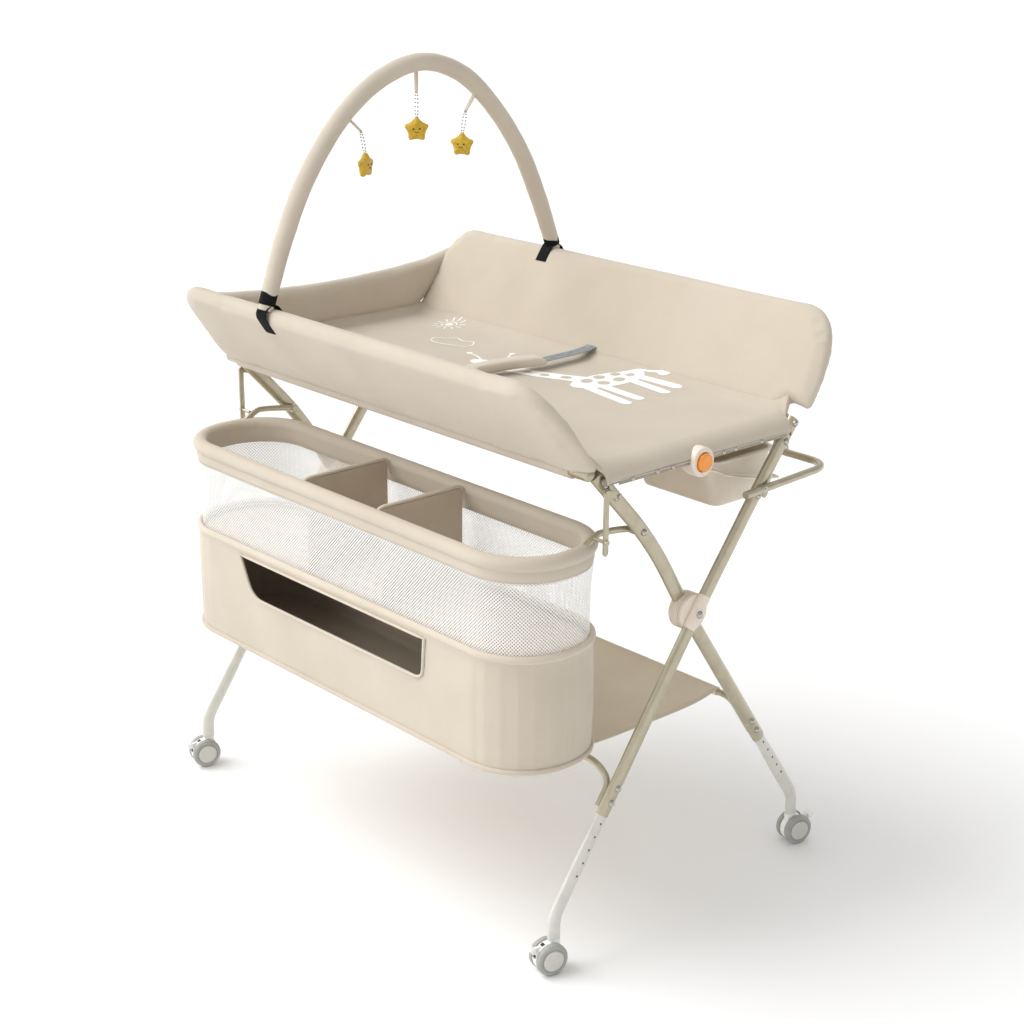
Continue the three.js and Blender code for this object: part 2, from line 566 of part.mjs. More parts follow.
// Each toy's cloth tab, from its root on the arch to its lower end.
const TABS = [[[-139, 1084], [-112, 1060]], [[-6, 1146], [-6, 1110]], [[113, 1102], [91, 1073]]];
function toyArch() {
  const line = new THREE.CatmullRomCurve3(ARCH_LINE.map(([y, z]) =>
    new THREE.Vector3(ARCH_X, y, z)));
  const path = new BentPath([[0, 0, 0], [0, 0, 1]], 1);
  path.stations = line.getPoints(26);
  const tube = toSolid(new THREE.ExtrudeGeometry(round(ARCH_R, 12),
    { steps: path.stations.length - 1, extrudePath: path }));
  const tabs = TABS.map(([a, b]) => sweep([[ARCH_X, ...a], [ARCH_X, ...b]], oval(4, 1.3, 8)));
  return joinAll([tube, ...tabs]);
}
part('toy_arch', toyArch(), FABRIC());
const STAR_AT = [[-104, 1009], [-6, 1053], [84, 1022]];
function star([cy, cz], [ty, tz], turn) { // plush star below a short bead chain
  const s = new THREE.Shape();
  for (let i = 0; i < 10; i += 1) {
    const r = i % 2 ? 11.5 : 19, a = Math.PI / 2 + (i * Math.PI) / 5;
    if (i) s.lineTo(r * Math.cos(a), r * Math.sin(a));
    else s.moveTo(r * Math.cos(a), r * Math.sin(a));
  }
  const g = new THREE.ExtrudeGeometry(s, { depth: 6, bevelEnabled: true, bevelThickness: 5,
    bevelSize: 3.5, bevelSegments: 2, bevelOffset: -2 });
  g.translate(0, 0, -3).rotateX(Math.PI / 2).rotateZ(turn);
  const body = toSolid(g.translate(ARCH_X, cy, cz));
  const chain = rod([ARCH_X, cy, cz + 15], [ARCH_X, ty, tz], 1.8, 8);
  return joinAll([body, chain]);
}
TABS.forEach(([, [y, z]], i) => part(`star_${i + 1}`,
  star(STAR_AT[i], [y, z - 2], [1.35, 0.9, 0.6][i]), finish(0xd9b53a, 0.9)));

// Webbing strap over the rim of a wall, where a foot of the arch stands.
function archStrap(side, [ty, tz], [run, rise]) {
  const u = new THREE.Vector2(side * run, rise).normalize();
  const n = new THREE.Vector2(u.y, -u.x);
  const c = new THREE.Vector2(ty + side * 2, tz + 2);
  const at2 = (v, w) => [c.x + u.x * v + n.x * w, c.y + u.y * v + n.y * w];
  const g = PAD + 0.8, o = PAD + 2.4, h = Math.hypot(run, rise) - 3;
  const ring = [at2(h - 34, -o), at2(h - 5, -o), at2(h + 2.4, -o + 5), at2(h + 2.4, o - 5), at2(h - 5, o),
    at2(h - 34, o), at2(h - 34, g), at2(h - 5, g), at2(h + 0.8, g - 5), at2(h + 0.8, -g + 5),
    at2(h - 5, -g), at2(h - 34, -g)];
  return slabX(side > 0 ? ring : ring.reverse(), ARCH_X - 12, ARCH_X + 12);
}
part('arch_strap_front', archStrap(-1, FRONT_TUBE, FRONT_LEAN), finish(0x1d1d1f, 0.8));
part('arch_strap_rear', archStrap(1, REAR_TUBE, REAR_LEAN), finish(0x1d1d1f, 0.8));

// The origin is on the floor, in the middle of the table's outline.
const outline = new THREE.Box3().setFromObject(table);
table.position.set(-(outline.min.x + outline.max.x) / 2, -(outline.min.y + outline.max.y) / 2,
  -outline.min.z);
table.updateMatrixWorld(true);

export default table;
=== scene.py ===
"""The looks of a folding changing table: padded tray, mesh basket, shelf, tub and toy arch.

Every piece is drawn in millimetres from the frame's datum, which lies under the hub pivots,
and is put into the row frame in metres. X runs along the table, -Y is the basket's side."""

import json
import math

import bmesh
import bpy
import numpy as np
from mathutils import Matrix, Vector
from mathutils.geometry import delaunay_2d_cdt


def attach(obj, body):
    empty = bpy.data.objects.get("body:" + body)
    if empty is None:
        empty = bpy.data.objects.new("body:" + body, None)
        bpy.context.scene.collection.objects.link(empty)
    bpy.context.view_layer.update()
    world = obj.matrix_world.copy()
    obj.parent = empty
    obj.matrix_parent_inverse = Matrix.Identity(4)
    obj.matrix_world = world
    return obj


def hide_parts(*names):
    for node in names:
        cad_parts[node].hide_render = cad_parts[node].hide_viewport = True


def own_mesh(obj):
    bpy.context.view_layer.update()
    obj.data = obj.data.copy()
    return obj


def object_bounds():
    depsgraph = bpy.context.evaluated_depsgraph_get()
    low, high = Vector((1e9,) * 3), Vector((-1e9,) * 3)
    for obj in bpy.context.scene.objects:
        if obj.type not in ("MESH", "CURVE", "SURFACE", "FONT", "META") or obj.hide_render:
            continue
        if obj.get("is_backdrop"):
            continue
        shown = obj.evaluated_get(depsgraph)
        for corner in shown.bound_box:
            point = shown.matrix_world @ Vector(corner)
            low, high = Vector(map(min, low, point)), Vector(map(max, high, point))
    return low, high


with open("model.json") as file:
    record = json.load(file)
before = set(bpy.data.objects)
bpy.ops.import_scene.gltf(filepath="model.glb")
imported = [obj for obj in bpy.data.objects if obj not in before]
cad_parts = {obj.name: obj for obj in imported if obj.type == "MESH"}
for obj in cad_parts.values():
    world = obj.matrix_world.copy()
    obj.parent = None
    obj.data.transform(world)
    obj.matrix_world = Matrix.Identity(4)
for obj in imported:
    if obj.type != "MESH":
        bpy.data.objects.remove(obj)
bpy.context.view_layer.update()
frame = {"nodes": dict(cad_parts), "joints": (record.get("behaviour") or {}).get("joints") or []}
JOINT = {j["name"]: j for j in frame["joints"]}
HUB_Z = 450
DATUM = np.array(JOINT["fold"]["pos_m"]) * 1000 - (0, 0, HUB_Z)
ENDS = {"R": 1, "L": -1}

# ---- sizes, in millimetres ----
INNER_X, OUTER_X = 401, 423  # centre planes of the two legs at each end
LEG_T, LEG_W = 7, 11  # half thickness and half width of a leg tube
LEG_SLOPE, HUB_R = 0.6958, 27  # a leg's run to its rise below the hub, and the hub's radius
INNER_TOP = [[0, 450], [-68, 563], [-172, 675], [-182, 686]]
OUTER_TOP = [[0, 450], [112, 598], [185, 691], [189, 696]]
FOOT_END = np.array([263, 72])
GROUND = -10
FRONT_TUBE, REAR_TUBE = np.array([-197, 690]), np.array([187, 691])
FRONT_LEAN, REAR_LEAN = (95, 132), (97, 150)  # run and rise of the padded walls
DECK_Z = 705
BASKET_Y, BASKET_L, BASKET_W, BASKET_R = -220, 405, 100, 94
SHELF_Z, SHELF_Y = 257, 151
RAIL_Z, LOCK_Y = 676, -12
ARCH_X, END_WALL_X = -172, -413
WHEEL_R, AXLE_Y, CASTER_YAW = 23.5, 8, -0.26
SHROUD_R, SLOT_R = 22, 21.6  # the caster's round cover between its wheels, and its slots
CLOTH_STEPS, SAME_POINT = 20, 0.00002  # steps of a simulation, and metres between doubles
# how a cloth piece would gather as the frame folds: the Y it gathers to, and the share it keeps; only
# their presence is used, to give the piece a mesh of its own
TRAY_GATHER, SHELF_GATHER, ARCH_GATHER = (-5, 0.404), (0, 0.394), (-4, 0.38)


def linked(name, data):
    """A new object in the scene."""
    made = bpy.data.objects.new(name, data)
    bpy.context.scene.collection.objects.link(made)
    return made


# ---- camera and floor ----
def camera():
    """A 68 mm lens to the right of the table's front, a little above its tray."""
    azimuth, elevation, roll = (math.radians(a) for a in (47.7486, 19.0943, 0.4538))
    back = Vector((math.sin(azimuth) * math.cos(elevation),
                   -math.cos(azimuth) * math.cos(elevation), math.sin(elevation)))
    level = Vector((math.cos(azimuth), math.sin(azimuth), 0))
    upright = back.cross(level)
    right = level * math.cos(roll) + upright * math.sin(roll)
    up = upright * math.cos(roll) - level * math.sin(roll)
    data = bpy.data.cameras.new("camera")
    data.lens, data.sensor_width = 67.69, 36
    data.clip_end = 50
    cam = linked("camera", data)
    turn = Matrix((right, up, back)).transposed().to_4x4()
    place = Vector((np.array([2090.3, -1861.2, 1457.3]) + DATUM) / 1000)
    cam.matrix_world = Matrix.Translation(place) @ turn
    bpy.context.scene.camera = cam


camera()


# ---- materials ----
def linear(hex_colour):
    """An sRGB hex colour as linear RGBA."""
    c = np.array([int(hex_colour[i:i + 2], 16) for i in (1, 3, 5)]) / 255
    c = np.where(c <= 0.04045, c / 12.92, ((c + 0.055) / 1.055) ** 2.4)
    return (*map(float, c), 1.0)


def add(tree, kind, inputs=(), **settings):
    """Adds a shader node. An input is a value, or a pair of a node and its output."""
    made = tree.nodes.new("ShaderNode" + kind)
    for name, value in settings.items():
        setattr(made, name, value)
    for name, value in dict(inputs).items():
        if isinstance(value, tuple) and isinstance(value[0], bpy.types.Node):
            tree.links.new(value[0].outputs[value[1]], made.inputs[name])
        else:
            made.inputs[name].default_value = value
    return made


def material(name, colour, roughness, **sockets):
    """A material whose plain sockets are set; returns it with its tree and shader."""
    made = bpy.data.materials.new(name)
    made.use_nodes = True
    shader = made.node_tree.nodes["Principled BSDF"]
    shader.inputs["Base Color"].default_value = linear(colour)
    shader.inputs["Roughness"].default_value = roughness
    for socket, value in sockets.items():
        shader.inputs[socket.replace("_", " ")].default_value = value
    return made, made.node_tree, shader


BANDS = 3.183  # bands that a wave texture of scale 1 draws in a metre


def mottle(tree, shader, coords, dark, light, size_mm):
    """Colour that drifts between two near tones, in patches of the given size."""
    noise = add(tree, "TexNoise", {"Vector": (coords, "Object"),
                "Scale": 1000 / size_mm, "Detail": 4.0, "Roughness": 0.6})
    ramp = add(tree, "ValToRGB", {"Fac": (noise, "Fac")})
    for stop, place, colour in zip(ramp.color_ramp.elements, (0.35, 0.65), (dark, light)):
        stop.position, stop.color = place, linear(colour)
    tree.links.new(ramp.outputs["Color"], shader.inputs["Base Color"])


def relief(tree, shader, coords, per_metre, strength, depth_mm, detail=2.0, roughness=0.5):
    """Fine bumps without direction: noise of a frequency per metre, as heights."""
    noise = add(tree, "TexNoise", {"Vector": (coords, "Object"), "Scale": per_metre,
                "Detail": detail, "Roughness": roughness})
    bumped = add(tree, "Bump", {"Height": (noise, "Fac"), "Strength": strength,
                 "Distance": depth_mm / 1000})
    tree.links.new(bumped.outputs["Normal"], shader.inputs["Normal"])


def finished(name, dark, light, roughness, patch_mm, bumps, **sockets):
    """A finish of two near tones in patches, with fine bumps of relief's settings."""
    made, tree, shader = material(name, light, roughness, **sockets)
    coords = add(tree, "TexCoord")
    mottle(tree, shader, coords, dark, light, patch_mm)
    relief(tree, shader, coords, *bumps)
    return made


def woven(name, dark, light, second="Y", pitch_mm=2.4, bump=0.22, sheen=0.25):
    """Matte polyester cloth: crossed threads, drawn at 2.4 mm so that they show at all, soft
    colour drift as foam behind the cloth gives, and a light fuzz that brightens its edges."""
    made, tree, shader = material(name, light, 0.86, Sheen_Weight=sheen, Sheen_Roughness=0.5)
    shader.inputs["Specular IOR Level"].default_value = 0.25
    coords = add(tree, "TexCoord")
    mottle(tree, shader, coords, dark, light, 130)
    warp, weft = (add(tree, "TexWave", {"Vector": (coords, "Object"), "Distortion": 0.4,
                  "Scale": 1000 / pitch_mm / BANDS, "Detail": 1.0},
                  bands_direction=across, wave_profile="SIN") for across in ("X", second))
    weave = add(tree, "Math", {0: (warp, "Fac"), 1: (weft, "Fac")}, operation="MULTIPLY")
    fuzz = add(tree, "TexNoise", {"Vector": (coords, "Object"), "Scale": 1400.0,
               "Detail": 2.0})
    height = add(tree, "Math", {0: (weave, "Value"), 1: (fuzz, "Fac")}, operation="ADD")
    bumped = add(tree, "Bump", {"Height": (height, "Value"), "Strength": bump,
                 "Distance": 0.0004})
    tree.links.new(bumped.outputs["Normal"], shader.inputs["Normal"])
    return made


def net(name, colour, pitch_mm=3.6, open_share=0.02):
    """Knitted mesh: round holes in staggered rows between soft white threads. The UV map is in
    metres along and up the cloth; a hole is where the product of two cosines is high."""
    made, tree, shader = material(name, colour, 0.75, Sheen_Weight=0.2)
    uv = add(tree, "UVMap")
    parts = add(tree, "SeparateXYZ", {"Vector": (uv, "UV")})
    waves = math.sqrt(2) * math.pi / (pitch_mm / 1000)
    cosines = []
    for axis in ("X", "Y"):
        angle = add(tree, "Math", {0: (parts, axis), 1: waves}, operation="MULTIPLY")
        cosines.append(add(tree, "Math", {0: (angle, "Value")}, operation="COSINE"))
    product = add(tree, "Math", {0: (cosines[0], "Value"), 1: (cosines[1], "Value")},
                  operation="MULTIPLY")
    solid = add(tree, "MapRange", {"Value": (product, "Value"), "From Min": open_share,
                "From Max": open_share + 0.16, "To Min": 1.0, "To Max": 0.0})
    tree.links.new(solid.outputs["Result"], shader.inputs["Alpha"])
    bumped = add(tree, "Bump", {"Height": (solid, "Result"), "Strength": 0.3,
                 "Distance": 0.0005})
    tree.links.new(bumped.outputs["Normal"], shader.inputs["Normal"])
    return made


def painted(name, dark, light, roughness, metallic, coat):
    """Powder coat on steel tube: a faint orange peel, and fine flakes that soften the gloss."""
    return finished(name, dark, light, roughness, 18, (700.0, 0.08, 0.2), Metallic=metallic,
                    Coat_Weight=coat, Coat_Roughness=0.18)


def moulded(name, dark, light, roughness, coat=0.0, grain=0.05):
    """Moulded plastic: a fine spark-eroded grain and a slight change of tone in the part."""
    return finished(name, dark, light, roughness, 40, (1100.0, grain, 0.2, 3.0),
                    Coat_Weight=coat, Coat_Roughness=0.15)


def chromed(name):
    """Bright zinc-plated steel: mirror-like, dulled in small cloudy patches by handling."""
    made, tree, shader = material(name, "#B4B2AD", 0.14, Metallic=1.0)
    coords = add(tree, "TexCoord")
    cloud = add(tree, "TexNoise", {"Vector": (coords, "Object"), "Scale": 260.0})
    rough = add(tree, "MapRange", {"Value": (cloud, "Fac"), "To Min": 0.08,
                "To Max": 0.3})
    tree.links.new(rough.outputs["Result"], shader.inputs["Roughness"])
    return made


def webbing(name, dark, light):
    """Flat polyester webbing: ribs along its length every 1.6 mm, with a dull sheen."""
    made, tree, shader = material(name, light, 0.8, Specular_IOR_Level=0.15)
    coords = add(tree, "TexCoord")
    mottle(tree, shader, coords, dark, light, 9)
    ribs = add(tree, "TexWave", {"Vector": (coords, "Object"), "Distortion": 0.4,
               "Scale": 1000 / 1.6 / BANDS, "Detail": 1.0}, bands_direction="X",
               wave_profile="SIN")
    bumped = add(tree, "Bump", {"Height": (ribs, "Fac"), "Strength": 0.5,
                 "Distance": 0.0005})
    tree.links.new(bumped.outputs["Normal"], shader.inputs["Normal"])
    return made


def plush(name, dark, light):
    """Short-pile plush: a soft nap that scatters light, with clumps of 1.5 mm."""
    return finished(name, dark, light, 0.95, 5, (650.0, 0.9, 1.2, 4.0, 0.7), Sheen_Weight=0.7,
                    Sheen_Roughness=0.35)


CLOTH = woven("beige_polyester_cloth", "#C4B9A8", "#CABFAF", "Z")
CLOTH_FLAT = woven("beige_polyester_cloth_flat", "#C0B5A4", "#C6BBAB", "Y")
# a darker copy of the beige cloth for the basket's floor and dividers: painted shade, as falls deep
# inside the basket
CLOTH_PAINTED_SHADE = woven("beige_cloth_painted_shade", "#BEB09D", "#C8BAA7", "Z")
PIPING = woven("beige_piping", "#CCC1B0", "#D2C7B7", "Z", bump=0.1)
NET = net("white_knitted_mesh", "#F4F3F0")
TUBE = painted("champagne_powder_coat", "#B3AA92", "#BDB59D", 0.28, 0.55, 0.3)
FOOT = painted("ivory_powder_coat", "#D0CEC6", "#DAD8D0", 0.3, 0.1, 0.5)
WIRE = painted("cream_coated_wire", "#DDD6C0", "#E6E0CC", 0.3, 0.2, 0.3)
STEEL = painted("grey_beige_rail_steel", "#8D8576", "#9A9283", 0.38, 0.6, 0.2)
PLASTIC = moulded("blush_beige_abs", "#E3D5C5", "#E8DBCC", 0.42, coat=0.1)
TUB = moulded("taupe_polypropylene", "#D9CDBB", "#DFD3C2", 0.38, coat=0.15)
WHITE = moulded("white_abs", "#F2F2EF", "#F7F7F4", 0.3, coat=0.3)
# black for the stars' faces; on the foot holes and caster slots the same black is painted shade inside
# the openings
BLACK = moulded("black_nylon_and_painted_hole_shade", "#1B1B1C", "#262627", 0.5)
ORANGE = moulded("orange_gloss_abs", "#EE8B22", "#F29A33", 0.3, coat=0.4)
TYRE = moulded("light_grey_tpr_tyre", "#9FA09A", "#AAABA5", 0.6, grain=0.12)
CAP = moulded("pale_grey_hub_cap", "#C6C4BC", "#D0CEC6", 0.35, coat=0.2)
CHROME = chromed("zinc_plated_steel")
BLACK_WEB = webbing("black_webbing", "#0E0E0F", "#171718")
GREY_WEB = webbing("grey_webbing", "#85898C", "#989C9E")
PLUSH = plush("mustard_plush", "#C79F2C", "#DDB945")
INK = moulded("white_screen_print", "#F6F5F1", "#FCFBF8", 0.62, grain=0.1)
# the shelf's beige cloth, made lighter than the rest of the cloth: painted light that lifts the shade
# under the tray
SHELF_CLOTH_PAINTED_LIGHT = woven("beige_shelf_cloth_painted_light", "#DFD2BC", "#E5D9C4", "Y")
PAPER = material("white_studio_paper", "#F6F6F6", 0.9)[0]


# ---- shapes ----
def quads(rows, columns, wrap_rows=False, wrap_columns=False):
    """Quads of a grid of rows by columns; a wrapped direction joins its end to its start."""
    i = np.arange(rows if wrap_rows else rows - 1)
    j = np.arange(columns if wrap_columns else columns - 1)
    i, j = (a.ravel() for a in np.meshgrid(i, j, indexing="ij"))
    n, m = (i + 1) % rows, (j + 1) % columns
    return np.stack([i * columns + j, n * columns + j, n * columns + m, i * columns + m], 1)


def ring_faces(rows, columns):
    """Faces of closed rings joined one after the other, with both ends closed."""
    return (quads(rows, columns, False, True).tolist()
            + [list(range(columns))[::-1], list(range((rows - 1) * columns, rows * columns))])


def bend(corners, radius, steps=8):
    """A path through corners, each rounded by a parabola that leaves the sides a radius away."""
    c = np.asarray(corners, float)
    path = [c[0]]
    for before, corner, after in zip(c[:-2], c[1:-1], c[2:]):
        a, b = before - corner, after - corner
        la, lb = np.linalg.norm(a), np.linalg.norm(b)
        reach = min(radius, 0.48 * la, 0.48 * lb)
        t = np.linspace(0, 1, steps + 1)[:, None]
        path.extend(corner + a / la * reach * (1 - t) ** 2 + b / lb * reach * t ** 2)
    path.append(c[-1])
    return np.array(path)


def directions(path, closed):
    """Unit tangents of a path, from each point's two neighbours."""
    if closed:
        d = np.roll(path, -1, 0) - np.roll(path, 1, 0)
    else:
        d = np.gradient(path, axis=0)
    return d / np.linalg.norm(d, axis=1, keepdims=True)


def carry(path, section, side, closed=False, scale=None):
    """A section carried along a path. Its first axis is the given side, squared to the path, and
    its second is the path's direction crossed with that. Returns points and faces."""
    path, section = np.asarray(path, float), np.asarray(section, float)
    t = directions(path, closed)
    first = np.asarray(side, float) - t * (t @ np.asarray(side, float))[:, None]
    first /= np.linalg.norm(first, axis=1, keepdims=True)
    second = np.cross(t, first)
    size = np.ones(len(path)) if scale is None else np.asarray(scale, float)
    points = (path[:, None] + size[:, None, None] * (section[None, :, :1] * first[:, None]
              + section[None, :, 1:] * second[:, None])).reshape(-1, 3)
    rows, columns = len(path), len(section)
    if closed:
        return points, quads(rows, columns, True, True).tolist()
    return points, ring_faces(rows, columns)


def oval(a, b, n=24):
    """An ellipse of two half widths, as n points."""
    t = np.arange(n) * 2 * np.pi / n
    return np.stack([a * np.cos(t), b * np.sin(t)], 1)


def spin(profile, centre, axis, n=40):
    """A profile of radius and height turned about an axis through a centre. The two ends of the
    profile lie on or near the axis and are closed."""
    axis = np.asarray(axis, float) / np.linalg.norm(axis)
    helper = np.array([0, 0, 1.0]) if abs(axis[2]) < 0.9 else np.array([1.0, 0, 0])
    e1 = np.cross(axis, helper)
    e1 /= np.linalg.norm(e1)
    e2 = np.cross(axis, e1)
    profile = np.asarray(profile, float)
    t = np.arange(n) * 2 * np.pi / n
    ring = np.cos(t)[:, None] * e1 + np.sin(t)[:, None] * e2
    points = (np.asarray(centre, float) + profile[:, None, 1:] * axis
              + profile[:, None, :1] * ring[None]).reshape(-1, 3)
    return points, ring_faces(len(profile), n)


def rounded_profile(radius, low, high, round_low, round_high, steps=5):
    """A drum's profile with both its edges rounded."""
    a = np.linspace(0, np.pi / 2, steps)
    bottom = np.stack([radius - round_low + round_low * np.sin(a),
                       low + round_low - round_low * np.cos(a)], 1)
    top = np.stack([radius - round_high + round_high * np.cos(a),
                    high - round_high + round_high * np.sin(a)], 1)
    return np.vstack([[[0.01, low]], bottom, top, [[0.01, high]]])


def merged(*shapes):
    """Several shapes as one list of points and faces."""
    points, faces, start = [], [], 0
    for p, f in shapes:
        points.append(p)
        faces += [[i + start for i in face] for face in f]
        start += len(p)
    return np.vstack(points), faces


def turned(points, angle):
    """Points turned about Z."""
    c, s = math.cos(angle), math.sin(angle)
    return points @ np.array([[c, -s, 0], [s, c, 0], [0, 0, 1]]).T


def mirrored(shape, sign=-1):
    """A shape at the other end of the table, turned the right way out again."""
    points, faces = shape
    if sign > 0:
        return shape
    return points * (-1, 1, 1), [f[::-1] for f in faces]


def shade_smooth(mesh):
    mesh.polygons.foreach_set("use_smooth", np.ones(len(mesh.polygons), bool))


def raw(name, shape, finish, uv=None, sharp=38, outward=True):
    """A Blender object from points in millimetres, with smooth faces and sharp edges kept."""
    points, faces = shape
    mesh = bpy.data.meshes.new(name)
    mesh.from_pydata(((points + DATUM) / 1000).tolist(), [], [list(f) for f in faces])
    if outward:
        work = bmesh.new()
        work.from_mesh(mesh)
        bmesh.ops.recalc_face_normals(work, faces=work.faces)
        work.to_mesh(mesh)
        work.free()
    if uv is not None:
        layer = mesh.uv_layers.new(name="UVMap")
        corner = np.zeros(len(mesh.loops), int)
        mesh.loops.foreach_get("vertex_index", corner)
        layer.data.foreach_set("uv", uv[corner].astype(np.float32).ravel())
    shade_smooth(mesh)
    mesh.set_sharp_from_angle(angle=math.radians(sharp))
    mesh.materials.append(finish)
    return linked(name, mesh)


def dress(obj, body, replaces=(), gather=None):
    """Rides a piece on its body, and lets it stand for its CAD nodes. A piece given a gather gets a
    mesh of its own."""
    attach(obj, body)
    if replaces:
        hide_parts(*replaces)
    if gather:
        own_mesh(obj)
    return obj


def piece(name, shape, finish, body, slot=None, replaces=(), gather=None, fill=None, **options):
    """A shape made an object and dressed."""
    return dress(raw(name, shape, finish, **options), body, replaces, gather)


def modifier(obj, kind, **settings):
    """Adds a modifier with its settings."""
    made = obj.modifiers.new(kind.lower(), kind)
    for name, value in settings.items():
        setattr(made, name, value)
    return made


def settle(obj):
    """Applies what an object's modifiers make of it, and returns the object."""
    graph = bpy.context.evaluated_depsgraph_get()
    mesh = bpy.data.meshes.new_from_object(obj.evaluated_get(graph))
    mesh.name = obj.name
    obj.modifiers.clear()
    obj.data = mesh
    return obj


def coordinates(obj):
    co = np.zeros(len(obj.data.vertices) * 3)
    obj.data.vertices.foreach_get("co", co)
    return co.reshape(-1, 3)


def set_coordinates(obj, co):
    obj.data.vertices.foreach_set("co", np.asarray(co, np.float32).ravel())
    obj.data.update()


def stuffed(obj, voxel_mm, cap_mm, smooth):
    """Foam under cloth: an even mesh of small faces, softened, then swelled by pressure for 20
    steps of cloth, with each point's travel capped."""
    modifier(obj, "REMESH", mode="VOXEL", voxel_size=voxel_mm / 1000)
    modifier(obj, "SMOOTH", factor=0.5, iterations=smooth)
    settle(obj)
    before = coordinates(obj)
    cloth = modifier(obj, "CLOTH").settings
    cloth.use_pressure, cloth.uniform_pressure_force = True, 3.0
    cloth.quality, cloth.mass = 4, 0.3
    cloth.tension_stiffness = cloth.compression_stiffness = 12
    cloth.bending_stiffness = 1.5
    cloth.effector_weights.gravity = 0
    scene = bpy.context.scene
    for step in range(1, CLOTH_STEPS + 1):
        scene.frame_set(step)
    settle(obj)
    scene.frame_set(1)
    travel = coordinates(obj) - before
    length = np.maximum(np.linalg.norm(travel, axis=1, keepdims=True), 1e-9)
    set_coordinates(obj, before + travel * np.minimum(1, cap_mm / 1000 / length))
    shade_smooth(obj.data)
    return obj


def prism(outline, low, high, place):
    """An outline given thickness between two levels, with place turning it into space."""
    outline = np.asarray(outline, float)
    n = len(outline)
    points = np.vstack([np.column_stack([outline, np.full(n, w)]) for w in (low, high)])
    faces = [list(range(n))[::-1], list(range(n, 2 * n))]
    faces += [[i, (i + 1) % n, n + (i + 1) % n, n + i] for i in range(n)]
    return place(points), faces


def end_on(p):
    """Turns a prism whose outline is in Y and Z, with its thickness along X, into space."""
    return p[:, [2, 0, 1]]


def strap_section(half, thick, n, square):
    """A strap's section: an ellipse whose cosine is raised to a low power, so its edges fill."""
    t = np.linspace(0, 2 * np.pi, n, endpoint=False)
    c, s = np.cos(t), np.sin(t)
    return np.stack([half * np.sign(c) * np.abs(c) ** square,
                     thick / 2 * np.sign(s) * np.abs(s) ** 0.6], 1)


def stroke(path, width):
    """The outline of a line drawn with a round brush of the given width."""
    path = np.asarray(path, float)
    t = directions(path, False)
    across = np.stack([-t[:, 1], t[:, 0]], 1) * width / 2
    a = np.linspace(0, np.pi, 7)[1:-1]
    cap_end = path[-1] + (np.cos(a)[:, None] * across[-1] + np.sin(a)[:, None] * t[-1] * width / 2)
    cap_start = path[0] + (-np.cos(a)[:, None] * across[0] - np.sin(a)[:, None] * t[0] * width / 2)
    return np.vstack([path + across, cap_end, (path - across)[::-1], cap_start])


def curve(control, steps=8):
    """A smooth path through its control points: a Catmull-Rom spline, ends run on straight."""
    c = np.asarray(control, float)
    c = np.vstack([2 * c[0] - c[1], c, 2 * c[-1] - c[-2]])
    t = np.linspace(0, 1, steps, endpoint=False)[:, None]
    parts = [0.5 * (2 * b + (d - a) * t + (2 * a - 5 * b + 4 * d - e) * t ** 2
                    + (3 * b - a - 3 * d + e) * t ** 3)
             for a, b, d, e in zip(c[:-3], c[1:-2], c[2:-1], c[3:])]
    return np.vstack([*parts, c[-2:-1]])


def plan(inset=0.0, steps=20, straight=24):
    """The basket's outline seen from above, closed: long sides joined by rounded ends."""
    length, width, r = BASKET_L - inset, BASKET_W - inset, BASKET_R - inset
    a = np.linspace(0, np.pi / 2, steps)
    ends = []
    for quarter, (sx, sy) in enumerate([(1, 1), (-1, 1), (-1, -1), (1, -1)]):
        t = a + quarter * np.pi / 2
        ends.append(np.stack([sx * (length - r) + r * np.cos(t),
                              BASKET_Y + sy * (width - r) + r * np.sin(t)], 1))
    span = np.linspace(0, 1, straight + 2)[1:-1, None]
    rear = ends[0][-1] * (1 - span) + ends[1][0] * span
    front = ends[2][-1] * (1 - span) + ends[3][0] * span
    return np.vstack([ends[0], rear, ends[1], ends[2], front, ends[3]])


def pillow(stations, low, high, half, thick_end, corner, place, crown=0.1, side=10, turn=7):
    """A padded board. At each station its section is a rounded rectangle from low to high and of
    the given half thickness; a section's sides are crowned by a parabola, and its thickness falls
    off near both ends as a quarter of a circle does. place turns station, thickness and height
    into space."""
    stations, low, high = (np.asarray(a, float) for a in (stations, low, high))
    span = np.minimum(stations - stations[0], stations[-1] - stations) / thick_end
    fall = np.sqrt(1 - (1 - np.clip(span, 0, 1)) ** 2)
    thick = np.maximum(half * fall, 0.4)
    mid, reach = (low + high) / 2, np.maximum((high - low) / 2, 0.5)
    r = np.minimum.reduce([np.full(len(stations), corner), thick, reach])
    a = np.linspace(0, np.pi / 2, turn)
    rail = np.linspace(-1, 1, side + 2)[1:-1]
    parts = []
    for k, (sw, ss) in enumerate([(1, 1), (-1, 1), (-1, -1), (1, -1)]):
        t = a + k * np.pi / 2
        parts.append((sw * (thick - r)[:, None] + r[:, None] * np.cos(t),
                      ss * (reach - r)[:, None] + r[:, None] * np.sin(t)))
        if k in (1, 3):
            edge = (-rail if k == 1 else rail)[None]
            parts.append((np.repeat(sw * thick[:, None], side, 1), edge * (reach - r)[:, None]))
    w = np.concatenate([p[0] for p in parts], 1)
    s = np.concatenate([p[1] for p in parts], 1)
    w = w * (1 + crown * (1 - (s / reach[:, None]) ** 2) * fall[:, None])
    n, m = w.shape
    station = np.repeat(stations[:, None], m, 1)
    points = place(np.stack([station, w, mid[:, None] + s], -1).reshape(-1, 3))
    return points, ring_faces(n, m)


